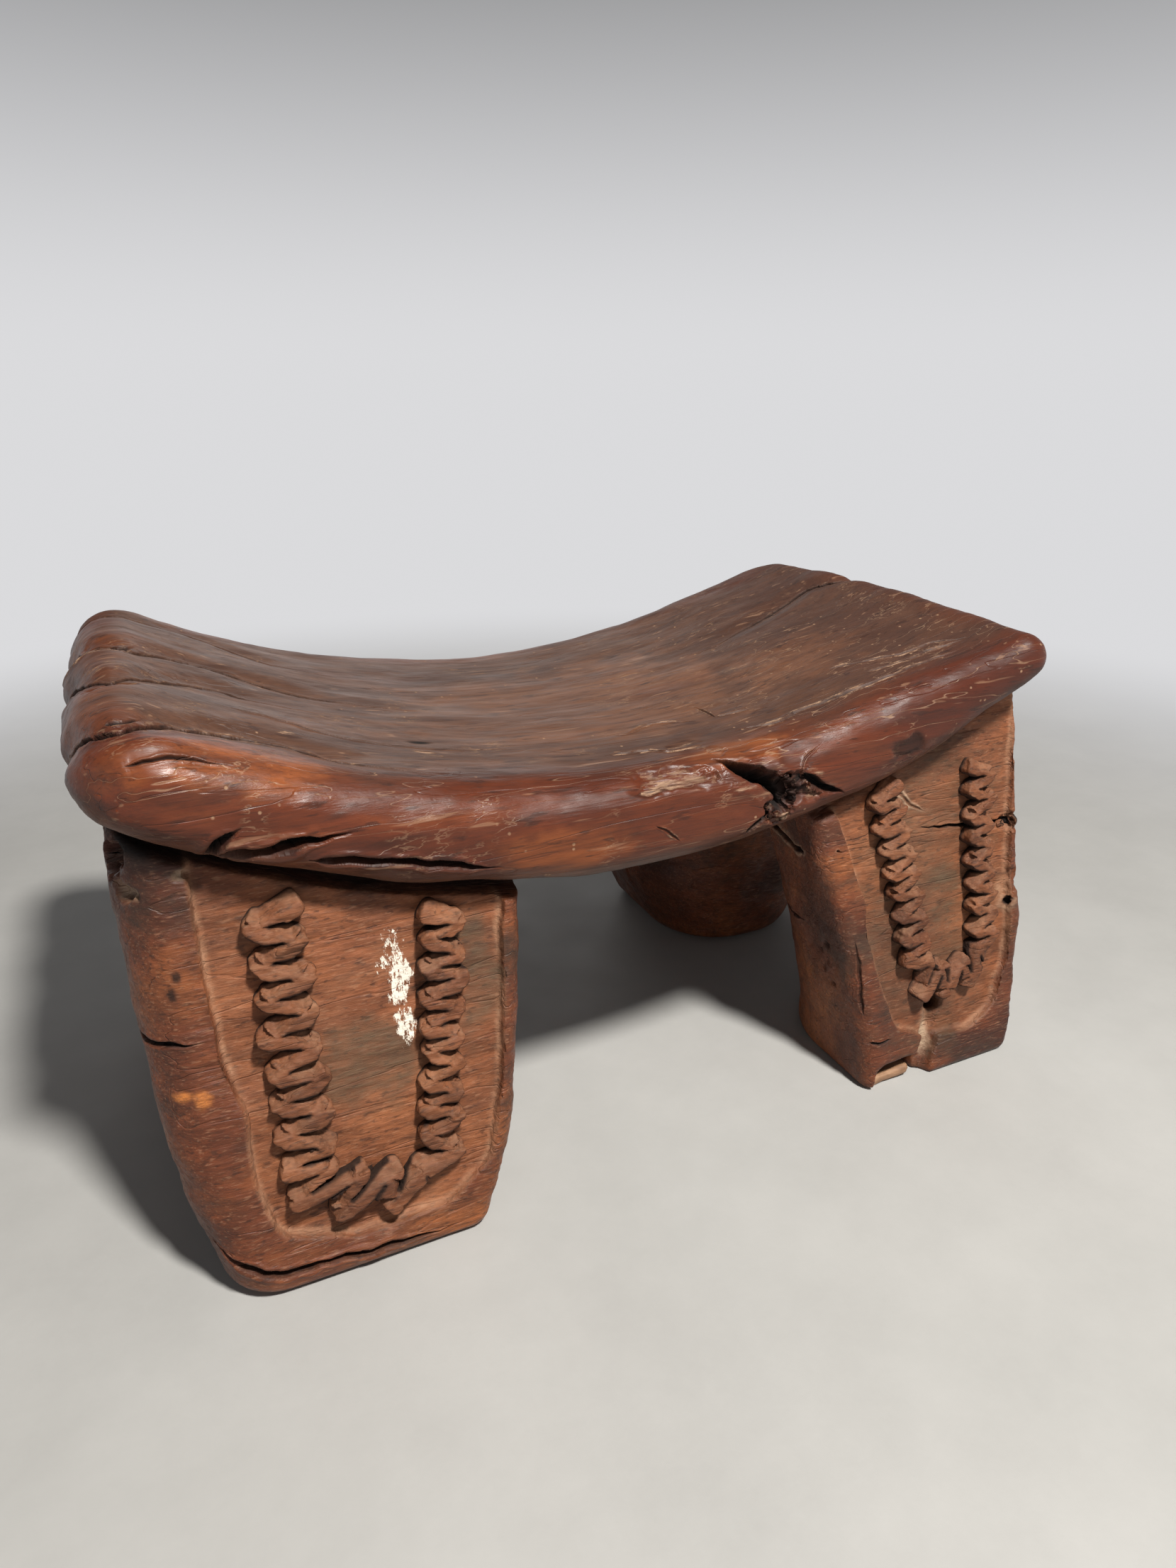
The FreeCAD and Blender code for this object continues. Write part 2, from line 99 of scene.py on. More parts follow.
SEED_STEP = 7.37        # how far each seed moves the noise
HASH_PRIMES = (374761393, 668265263, 1442695041, 982451653)
HASH_MIXERS = ((13, 1274126177), (15, 2246822519))
LOW_BITS = 0xFFFFFFFF


# ---------------------------------------------------------------- noise and shape functions
def lattice(cell, seed):
    """A repeatable value from -1 to 1 for each whole-number cell."""
    parts = (cell[..., 0], cell[..., 1], cell[..., 2], seed)
    value = sum(part * prime for part, prime in zip(parts, HASH_PRIMES)) & LOW_BITS
    for shift, mixer in HASH_MIXERS:
        value = ((value ^ (value >> shift)) * mixer) & LOW_BITS
    return ((value ^ (value >> 16)) & 0xFFFFFF) / float(0x7FFFFF) - 1


def noise(points, scale, seed):
    """Smooth noise from -1 to 1; scale is the size of its lumps, one number or one per axis."""
    place = points / np.array(scale, float) + seed * SEED_STEP
    cell = np.floor(place).astype(np.int64)
    part = place - cell
    part = part ** 3 * (part * (part * 6 - 15) + 10)
    total = 0.0
    for corner in np.ndindex(2, 2, 2):
        weight = np.prod(np.where(corner, part, 1 - part), axis=-1)
        total = total + weight * lattice(cell + np.array(corner), seed)
    return total


def layered(points, scale, seed, layers=3):
    """Noise at several scales, each half the size and half the strength of the one before."""
    scale = np.array(scale, float)
    return sum(noise(points, scale / 2 ** i, seed + i) / 2 ** i for i in range(layers))


def step(low, high, value):
    """Rises smoothly from 0 at low to 1 at high."""
    t = np.clip((value - low) / (high - low), 0, 1)
    return t * t * (3 - 2 * t)


def smooth_max(a, b, radius):
    """The larger of two signed distances, blended where they are within the radius."""
    h = np.maximum(radius - np.abs(a - b), 0) / radius
    return np.maximum(a, b) + h * h * radius / 4


def rounded_pair(a, b, radius):
    """Where two signed distances meet, joined by a true round of that radius."""
    qa, qb = a + radius, b + radius
    return np.hypot(np.maximum(qa, 0), np.maximum(qb, 0)) + np.minimum(np.maximum(qa, qb), 0) - radius


def line_distance(u, v, corners):
    """Distance from each (u, v) to a line of corners, and how far along the line it is."""
    corners = np.array(corners, float)
    spans = np.diff(corners, axis=0)
    lengths = np.hypot(spans[:, 0], spans[:, 1])
    starts = np.concatenate([[0], np.cumsum(lengths)])
    best = np.full(np.broadcast(u, v).shape, FAR)
    along = np.zeros(best.shape)
    for a, span, length, start in zip(corners, spans, lengths, starts):
        t = np.clip(((u - a[0]) * span[0] + (v - a[1]) * span[1]) / length ** 2, 0, 1)
        d = np.hypot(u - a[0] - t * span[0], v - a[1] - t * span[1])
        along = np.where(d < best, start + t * length, along)
        best = np.minimum(best, d)
    return best, along


def outline_distance(u, v, corners):
    """Signed distance to a closed outline, negative inside."""
    corners = np.array(corners, float)
    best, _ = line_distance(u, v, np.vstack([corners, corners[:1]]))
    inside = np.zeros(best.shape, bool)
    for a, b in zip(corners, np.roll(corners, -1, axis=0)):
        crosses = (a[1] > v) != (b[1] > v)
        rise = b[1] - a[1] if b[1] != a[1] else 1e-9
        inside ^= crosses & (u < (b[0] - a[0]) * (v - a[1]) / rise + a[0])
    return np.where(inside, -best, best)


# ---------------------------------------------------------------- meshes
class Surface:
    """A triangle mesh in millimetres, with masks at its vertices that the materials read."""

    def __init__(self, field, origin, size):
        """The zero surface of a signed-distance field sampled on a grid."""
        grid = openvdb.FloatGrid(FIELD_REACH)
        grid.copyFromArray(np.clip(field, -FIELD_REACH, FIELD_REACH).astype(np.float32))
        points, triangles, quads = grid.convertToPolygons(0.0, 0.0)
        self.points = points.astype(float) * size + np.array(origin, float)
        self.faces = np.vstack([triangles, quads[:, [0, 1, 2]], quads[:, [0, 2, 3]]]).astype(np.int64)
        self.masks = {}

    def normals(self):
        a, b, c = (self.points[self.faces[:, i]] for i in range(3))
        across = np.cross(b - a, c - a)
        total = np.zeros_like(self.points)
        for i in range(3):
            for axis in range(3):
                total[:, axis] += np.bincount(self.faces[:, i], across[:, axis], len(self.points))
        return total / np.maximum(np.linalg.norm(total, axis=1, keepdims=True), 1e-9)

    def refine(self, wanted):
        """Splits every edge whose two ends are wanted, so that narrow cracks have enough vertices."""
        faces = self.faces
        ends = np.sort(np.stack([faces, np.roll(faces, -1, axis=1)], axis=-1).reshape(-1, 2), axis=1)
        split = wanted[ends].all(axis=1)
        keys, place = np.unique(ends[split], axis=0, return_inverse=True)
        middle = np.full(len(ends), -1)
        middle[split] = len(self.points) + place.ravel()
        middle = middle.reshape(-1, 3)
        self.points = np.vstack([self.points, self.points[keys].mean(axis=1)])
        count = (middle >= 0).sum(axis=1)
        made = [faces[count == 0]]
        rows = np.arange(len(faces))
        whole = count == 3
        (a, b, c), (ab, bc, ca) = faces[whole].T, middle[whole].T
        made += [np.stack(t, axis=1) for t in ((a, ab, ca), (ab, b, bc), (ca, bc, c), (ab, bc, ca))]
        for parts in (1, 2):
            some = rows[count == parts]
            first = np.argmax(middle[some] >= 0 if parts == 1 else middle[some] < 0, axis=1)
            turn = (first[:, None] + np.arange(3)) % 3
            (a, b, c), (ab, bc, ca) = (np.take_along_axis(x[some], turn, axis=1).T for x in (faces, middle))
            if parts == 1:
                made += [np.stack(t, axis=1) for t in ((a, ab, c), (ab, b, c))]
            else:
                made += [np.stack(t, axis=1) for t in ((a, b, bc), (a, bc, ca), (ca, bc, c))]
        self.faces = np.vstack(made)

    def push(self, amount, normals):
        """Moves each vertex out along its normal."""
        self.points += normals * np.asarray(amount)[:, None]

    def mark(self, name, value):
        """Adds to a mask, keeping the stronger of the old and the new value."""
        old = self.masks.get(name, np.zeros(len(self.points)))
        self.masks[name] = np.maximum(old, np.clip(value, 0, 1))

    def mark_at(self, name, index, value):
        """The same at some vertices only, which may repeat."""
        mask = self.masks.setdefault(name, np.zeros(len(self.points)))
        np.maximum.at(mask, index, np.clip(value, 0, 1))

    def to_object(self, name, place=None):
        points = self.points if place is None else place(self.points)
        mesh = bpy.data.meshes.new(name)
        mesh.vertices.add(len(points))
        mesh.vertices.foreach_set("co", (points * MM).astype(np.float32).ravel())
        mesh.loops.add(len(self.faces) * 3)
        mesh.loops.foreach_set("vertex_index", self.faces.astype(np.int32).ravel())
        mesh.polygons.add(len(self.faces))
        mesh.polygons.foreach_set("loop_start", np.arange(0, len(self.faces) * 3, 3, dtype=np.int32))
        mesh.update(calc_edges=True)
        mesh.validate()
        mesh.shade_smooth()
        for mask, value in self.masks.items():
            layer = mesh.attributes.new(mask, "FLOAT", "POINT")
            layer.data.foreach_set("value", value.astype(np.float32))
        made = bpy.data.objects.new(name, mesh)
        bpy.context.scene.collection.objects.link(made)
        return made


def sample(low, high, size):
    """Grid lines from low to high along each axis, shaped to broadcast together."""
    x, y, z = (np.arange(a, b + size, size) for a, b in zip(low, high))
    return x[:, None, None], y[None, :, None], z[None, None, :]


def smoothed(line):
    """Each inner point of a line, moved to the mean of itself and its two neighbours."""
    return (line[:-2] + line[1:-1] + line[2:]) / 3


def dense(corners, wander, seed):
    """A closely spaced line through the corners, wandering a little from side to side."""
    corners = np.array(corners, float)
    lengths = np.linalg.norm(np.diff(corners, axis=0), axis=1)
    starts = np.concatenate([[0], np.cumsum(lengths)])
    stations = np.linspace(0, starts[-1], max(3, int(starts[-1] / LINE_STEP)))
    line = np.stack([np.interp(stations, starts, corners[:, i]) for i in range(3)], axis=1)
    for _ in range(3):
        line[1:-1] = smoothed(line)
    shift = np.stack([layered(line, 9, seed + i) for i in range(3)], axis=1)
    return line + shift * wander


def near(points, line, reach):
    """Which points lie within reach of a line, their distance from it, and the share of its length."""
    low, high = line.min(axis=0) - reach, line.max(axis=0) + reach
    index = np.flatnonzero(((points > low) & (points < high)).all(axis=1))
    some = points[index]
    best = np.full(len(some), FAR)
    along = np.zeros(len(some))
    for i in range(len(line) - 1):
        a, span = line[i], line[i + 1] - line[i]
        t = np.clip((some - a) @ span / max(span @ span, 1e-9), 0, 1)
        d = np.linalg.norm(some - a - t[:, None] * span, axis=1)
        along = np.where(d < best, (i + t) / (len(line) - 1), along)
        best = np.minimum(best, d)
    keep = best < reach
    return index[keep], best[keep], along[keep]


class Crack:
    """A split that follows a line on the surface: a narrow gap in a wider shallow valley, with shade
    painted into the gap.
    """

    def __init__(self, corners, width=1.1, depth=3.5, valley=0.0, valley_width=10.0, lip=0.25,
                 pale=0.0, dark=1.0, ends=(0.15, 0.35), wander=0.7, seed=1):
        self.line = dense(corners, wander, seed)
        self.width, self.depth, self.lip = width, depth, lip
        self.valley, self.valley_width = valley, valley_width
        self.pale, self.dark, self.ends, self.seed = pale, dark, ends, seed

    def strength(self, along):
        start, end = self.ends
        fade_in = step(-0.02, start, along) if start else 1
        fade_out = step(-0.02, end, 1 - along) if end else 1
        return fade_in * fade_out

    def snap(self, surface):
        """Lays the line onto the surface."""
        index, _, _ = near(surface.points, self.line, SNAP_REACH)
        some = surface.points[index]
        for i, point in enumerate(self.line):
            gaps = np.linalg.norm(some - point, axis=1)
            if len(gaps):
                self.line[i] = some[np.argmin(gaps)]
        self.line[1:-1] = smoothed(self.line)

    def cut(self, surface, amount):
        index, d, along = near(surface.points, self.line, max(self.valley_width, self.width * 5))
        force = self.strength(along)
        ragged = 1 + 0.35 * noise(surface.points[index], 5, self.seed)
        width = self.width * np.maximum(force, 0.25) * ragged
        gap = np.clip(1 - d / width, 0, 1) ** 0.6 * self.depth * force
        lip = np.exp(-((d / width - 1.7) / 0.7) ** 2) * self.lip * force
        valley = (1 - step(0, 1, d / self.valley_width)) * self.valley * force
        amount[index] += lip - gap - valley
        # Painted shade: the gap is darkened in the colour, as strongly as dark asks.
        gap_shade = (1 - step(0.55, 1.35, d / width)) * np.minimum(force * 2, 1)
        surface.mark_at("crack_and_shade", index, gap_shade * self.dark)
        edge = np.exp(-((d / width - 1.7) / 0.8) ** 2) * force * ragged
        surface.mark_at("pale", index, edge * self.pale)


def cut_cracks(surface, cracks, passes=2):
    """Refines the mesh along the cracks, then cuts them all."""
    for crack_and_shade in cracks:
        crack_and_shade.snap(surface)
    for turn in range(passes if FINE else 1):
        wanted = np.zeros(len(surface.points), bool)
        for crack_and_shade in cracks:
            index, _, _ = near(surface.points, crack_and_shade.line, crack_and_shade.width * 2.2 + 1.2 / (turn + 1))
            wanted[index] = True
        surface.refine(wanted)
    amount = np.zeros(len(surface.points))
    for crack_and_shade in cracks:
        crack_and_shade.cut(surface, amount)
    surface.push(amount, surface.normals())


def scoop(surface, centre, radii, depth, seed, rough=0.4, pale=0.0, dark=0.0):
    """A torn or worn hollow: an uneven oval bowl round a point of the surface, with pale torn fibres and
    painted shade in it.
    """
    offset = (surface.points - np.array(centre, float)) / np.array(radii, float)
    ragged = 0.35 * layered(surface.points, 7, seed)
    d = np.linalg.norm(offset, axis=1) + ragged
    force = 1 - step(0.55, 1.0, d)
    fibre = layered(surface.points, (14, 2.2, 2.2), seed + 9)
    surface.push(-force * (depth + rough * fibre), surface.normals())
    surface.mark("pale", force * pale * np.clip(0.8 + 0.5 * fibre, 0, 1))
    # Painted shade inside the hollow, as strong as dark.
    surface.mark("crack_and_shade", force * dark)


def splash(surface, name, centre, radii, seed, strength=1.0):
    """A soft-edged patch of a mask round a point, in the surface's own coordinates."""
    offset = (surface.points - np.array(centre, float)) / np.array(radii, float)
    d = np.linalg.norm(offset, axis=1) + 0.3 * layered(surface.points, 10, seed)
    surface.mark(name, strength * (1 - step(0.5, 1.1, d)))


# ---------------------------------------------------------------- the seat
def seat_field(x, y, z):
    """Signed distance of the dished seat: a slab bent along two arcs, with rounded edges."""
    angle = np.arctan2(x, ARC_CENTRE_Z - z)
    along = ARC_RADIUS * angle
    above = ARC_RADIUS - np.hypot(x, ARC_CENTRE_Z - z)
    across = y - SEAT_MID_Y
    left, front = along < 0, across < 0
    tip = step(120, HALF_ARC, along) * (0.34 + 0.24 * step(20, -SEAT_HALF_WIDTH, across))
    half = SEAT_THICKNESS / 2 * np.cos(angle) * (1 - 0.62 * tip)
    above = above + SEAT_THICKNESS / 2 * np.cos(angle) * 0.38 * tip
    corner = np.where(front, np.where(left, FRONT_LEFT, FRONT_RIGHT), np.where(left, BACK_LEFT, BACK_RIGHT))
    belly = 2.0 * np.cos(across / SEAT_HALF_WIDTH * 1.3)
    ends = np.abs(along) - HALF_ARC + 2.0 - belly
    sides = np.abs(across) - SEAT_HALF_WIDTH + 1.0 - np.cos(along / HALF_ARC * 1.4)
    outline = rounded_pair(ends, sides, corner)
    radius = np.minimum(np.where(above > 0, TOP_ROUND, UNDER_ROUND), half - 0.4)
    return rounded_pair(outline, np.abs(above) - half, radius)


def under_seat(x):
    """Height of the seat's underside."""
    return UNDER_HEIGHT + ARC_RADIUS - np.sqrt(ARC_RADIUS ** 2 - x ** 2)


def over_seat(x):
    return under_seat(x) + SEAT_THICKNESS


def on_top(*places):
    """Points on the dished top, from pairs of x and y."""
    return [(x, y, over_seat(x)) for x, y in places]


SEAT_CRACKS = [
    # Long grain splits that open at the left end and fade towards the middle.
    Crack([(-196, 95, 196), (-198, 90, 208), (-190, 88, 218), (-176, 84, 217), (-158, 86, 209),
           (-143, 79, 202), (-121, 62, 195), (-95, 52, 187)], width=1.0, valley=1.6, lip=0.2, seed=11),
    Crack([(-200, 30, 200), (-198, 22, 212), (-193, 20, 217), (-185, 14, 219), (-176, 26, 217)], width=2.4,
          depth=6.0, pale=1.0, lip=0.5, ends=(0.1, 0.25), seed=12),
    Crack([(-203, 52, 196), (-203, 44, 207), (-196, 32, 214), (-178, 16, 218), (-165, 26, 211),
           (-148, 28, 204), (-122, 16, 195), (-108, 10, 191), (-94, 4, 187), (-60, -2, 180)], width=1.5,
          depth=4.5, valley=2.6, valley_width=13, ends=(0.0, 0.5), seed=13),
    Crack([(-200, 8, 192), (-203, 2, 205), (-195, -24, 216), (-186, -32, 219), (-173, -20, 215),
           (-162, -9, 210), (-149, -4, 205), (-138, -12, 201), (-110, -20, 192)], width=1.2, depth=3.5,
          valley=2.8, valley_width=13, pale=0.4, ends=(0.0, 0.4), seed=14),
    Crack(on_top((-152, -37), (-134, -41), (-122, -46), (-106, -52), (-82, -54), (-40, -58)), width=0.7,
          depth=1.6, pale=0.3, seed=15),
    Crack([(-200, -62, 194), (-203, -70, 206), (-194, -84, 217), (-186, -88, 219), (-177, -82, 217),
           (-166, -74, 212), (-156, -70, 208), (-143, -67, 202), (-130, -69, 198), (-119, -76, 194),
           (-106, -81, 190), (-89, -86, 186), (-70, -88, 182)], width=1.3, depth=4.0, valley=3.0,
          valley_width=13, pale=0.5, ends=(0.0, 0.5), seed=16),
    Crack(on_top((-191, -81), (-184, -82), (-176, -75)), width=0.8, depth=1.5, pale=0.8, seed=17),
    Crack([(-187, -104, 211), (-179, -102, 211), (-171, -100, 210), (-163, -99, 207), (-152, -98, 203)],
          width=0.7, depth=1.4, valley=0.9, valley_width=6, pale=0.3, dark=0.8, seed=18),
    # The two deep splits low on the front edge, left, and the notch at their left end.
    Crack([(-162, -101, 175), (-154, -105, 172), (-147, -106, 173), (-138, -107, 175), (-128, -107, 175),
           (-116, -107, 175)], width=2.6, depth=10, lip=0.9, pale=0.35, ends=(0.12, 0.6), seed=19),
    Crack([(-165, -98, 172), (-163, -101, 177), (-160, -105, 181), (-152, -107, 184)], width=2.2, depth=6,
          lip=0.6, pale=0.3, ends=(0.1, 0.6), seed=20),
    Crack([(-134, -106, 167), (-120, -106, 165), (-110, -106, 163), (-102, -106, 161), (-85, -106, 157),
           (-66, -105, 152)], width=1.7, depth=8, lip=0.8, pale=0.3, ends=(0.12, 0.3), seed=21),
    # The large split and its branches on the front edge, right of the middle.
    Crack([(28, -96, 176), (35, -100, 173), (43, -103, 170), (49, -105, 167), (54, -106, 162),
           (57, -107, 156), (63, -105, 148)], width=3.9, depth=14, lip=0.9, pale=0.5, ends=(0.3, 0.25),
          wander=1.6, seed=22),
    Crack([(66, -106, 166), (74, -107, 162), (79, -107, 158), (91, -104, 153)], width=1.9, depth=6,
          pale=0.5, ends=(0.1, 0.5), wander=1.2, seed=23),
    Crack([(62, -106, 162), (65, -106, 169), (71, -103, 174), (79, -101, 178)], width=0.4, depth=0.6,
          pale=0.6, dark=0.2, wander=1.2, seed=24),
    Crack([(-3, -107, 158), (0, -107, 154), (9, -106, 146)], width=0.4, depth=0.6, pale=0.6, dark=0.5,
          wander=1.2, seed=26),
    Crack([(40, -100, 146), (48, -104, 150), (54, -106, 154)], width=1.2, depth=3.0, pale=0.2, seed=27),
    # Long scratches and checks on the right half of the top.
    Crack([(50, -76, 179), (64, -81, 181), (79, -79, 184), (96, -80, 188), (116, -83, 193), (136, -84, 200),
           (158, -84, 209), (178, -83, 217)], width=0.9, depth=1.0, pale=1.0, dark=0.15, seed=28),
    Crack([(120, -72, 194), (140, -75, 201), (160, -76, 209), (176, -80, 216)], width=0.7, depth=0.7,
          pale=0.9, dark=0.1, seed=29),
    Crack([(112, -54, 193), (127, -62, 197), (137, -64, 200), (148, -69, 205), (163, -70, 210),
           (178, -82, 217)], width=0.8, depth=1.0, pale=0.9, dark=0.2, seed=30),
    Crack([(86, 20, 186), (100, 20, 189), (119, 28, 194), (140, 34, 201), (156, 40, 208), (169, 44, 214),
           (182, 34, 217), (196, 28, 212), (203, 26, 204)], width=1.1, depth=2.6, valley=2.6,
          valley_width=11, pale=0.35, ends=(0.5, 0.0), seed=31),
    Crack(on_top((2, -55), (11, -56), (23, -50), (33, -52), (47, -58)), width=0.6, depth=0.6, pale=0.8,
          dark=0.1, seed=32),
    Crack(on_top((51, -43), (53, -52), (52, -60)), width=0.6, depth=0.7, pale=0.9, dark=0.3, seed=33),
    Crack(on_top((52, -59), (61, -59), (75, -66)), width=0.6, depth=0.6, pale=0.7, dark=0.1, seed=34),
    Crack(on_top((-10, -76), (1, -76), (9, -77), (17, -84), (25, -85), (32, -89)), width=0.9, depth=0.8,
          pale=1.0, dark=0.1, seed=35),
    Crack([(124, -98, 193), (138, -100, 196)], width=0.5, depth=0.5, pale=0.5, dark=0.2, seed=36),
    # The back edge and the right end have a few checks of their own.
    Crack([(-92, 114, 165), (-60, 116, 158), (-20, 116, 154), (24, 116, 154)], width=1.6, depth=5, lip=0.6,
          valley=0.8, seed=37),
    Crack([(70, 113, 166), (98, 114, 171), (126, 113, 180)], width=1.1, depth=3, seed=38),
    Crack([(202, -48, 205), (203, -20, 205), (200, 4, 206)], width=0.9, depth=2.4, seed=39),
    Crack([(-30, 40, 136), (10, 30, 136), (60, 34, 140)], width=1.2, depth=3.5, seed=40),
]

# Torn places: the centre, radii, depth, seed, roughness, how pale they are, and how much shade is painted
# into them.
SEAT_HOLLOWS = [
    ((10, -100, 171), (19, 9, 5), 1.6, 51, 0.9, 1.0),
    ((24, -80, 177), (12, 6, 5), 0.5, 52, 0.4, 1.0),
    ((33, -91, 177), (5, 4, 4), 0.6, 58, 0.4, 0.9),
    ((61, -107, 160), (11, 8, 10), 4.5, 53, 1.6, 0.0, 0.75),
    ((53, -107, 152), (6, 7, 8), 2.6, 54, 1.4, 0.9),
    ((71, -107, 158), (6, 5, 5), 2.0, 55, 0.9, 0.8),
    ((-187, -38, 218), (12, 7, 5), 1.6, 56, 0.9, 0.95, 0.25),
    ((120, -107, 170), (11, 5, 6), 0.8, 57, 0.5, 0.0, 0.7),
    ((-198, -101, 203), (4, 5, 6), 0.9, 59, 0.5, 0.5),
    ((-193, -107, 198), (5, 4, 4), 0.8, 60, 0.4, 0.55),
]
# Patches of a mask: its name, the centre, the radii and the seed.
SEAT_MARKS = [
    ("worn", (-40, -107, 152), (34, 20, 16), 61),
    ("worn", (-150, -98, 204), (38, 16, 14), 61),
    ("worn", (42, -93, 178), (26, 12, 9), 61),
    ("worn", (10, -5, 178), (110, 70, 14), 61),
    ("worn", (120, -30, 192), (60, 30, 14), 61),
    ("pale", (-131, -57, 198), (6, 3, 3), 62),
    ("crack_and_shade", (-78, -47, 184), (7, 2, 3), 63),
    ("pale", (-80, -60, 184), (6, 4, 3), 64),
]


def make_seat():
    """The dished seat, with its worn rim, cracks and torn places."""
    low = SEAT_LOW - MARGIN
    high = SEAT_HIGH + MARGIN
    x, y, z = sample(low, high, VOXEL)
    surface = Surface(seat_field(x, y, z), low, VOXEL)
    p = surface.points
    normals = surface.normals()
    slow = 0.9 * layered(p, (70, 42, 42), 3) + 0.32 * layered(p, (26, 14, 14), 5)
    surface.push(slow, normals)
    rim = rim_mask(surface.points)
    facets = (noise(surface.points, (9, 9, 6), 41) * 0.16 * rim
              + layered(surface.points, (16, 2.0, 2.0), 8) * 0.09)
    under = step(-0.3, -0.8, normals[:, 2])
    adze = noise(surface.points, (20, 9, 9), 43) * 0.7 * under
    surface.push(facets + adze, normals)
    cut_cracks(surface, SEAT_CRACKS)
    for hollow in SEAT_HOLLOWS:
        scoop(surface, *hollow)
    surface.mark("rim", rim_mask(surface.points))
    for mark in SEAT_MARKS:
        splash(surface, *mark)
    # The seat darkens towards its right end.
    darker_to_right = step(60, 170, surface.points[:, 0]) * (0.75 + 0.25 * noise(surface.points, (60, 12, 12), 65))
    surface.mark("stain_and_shade", darker_to_right)
    return surface.to_object("carved_seat")


def rim_mask(p):
    """How near a point is to the rounded edges of the seat, where hands have polished it."""
    angle = np.arctan2(p[:, 0], ARC_CENTRE_Z - p[:, 2])
    across = np.abs(p[:, 1] - SEAT_MID_Y) / SEAT_HALF_WIDTH
    along = np.abs(ARC_RADIUS * angle) / HALF_ARC
    above = ARC_RADIUS - np.hypot(p[:, 0], ARC_CENTRE_Z - p[:, 2])
    front = np.where(p[:, 1] < 0, 1.0, 0.7)
    edge = np.maximum(step(0.66, 1.0, across) * front, step(0.88, 1.0, along) * 0.5)
    bulb = step(-66, -92, p[:, 1]) * step(-70, -150, p[:, 0])
    return np.maximum(edge, bulb * 0.9) * step(-24, -6, above)


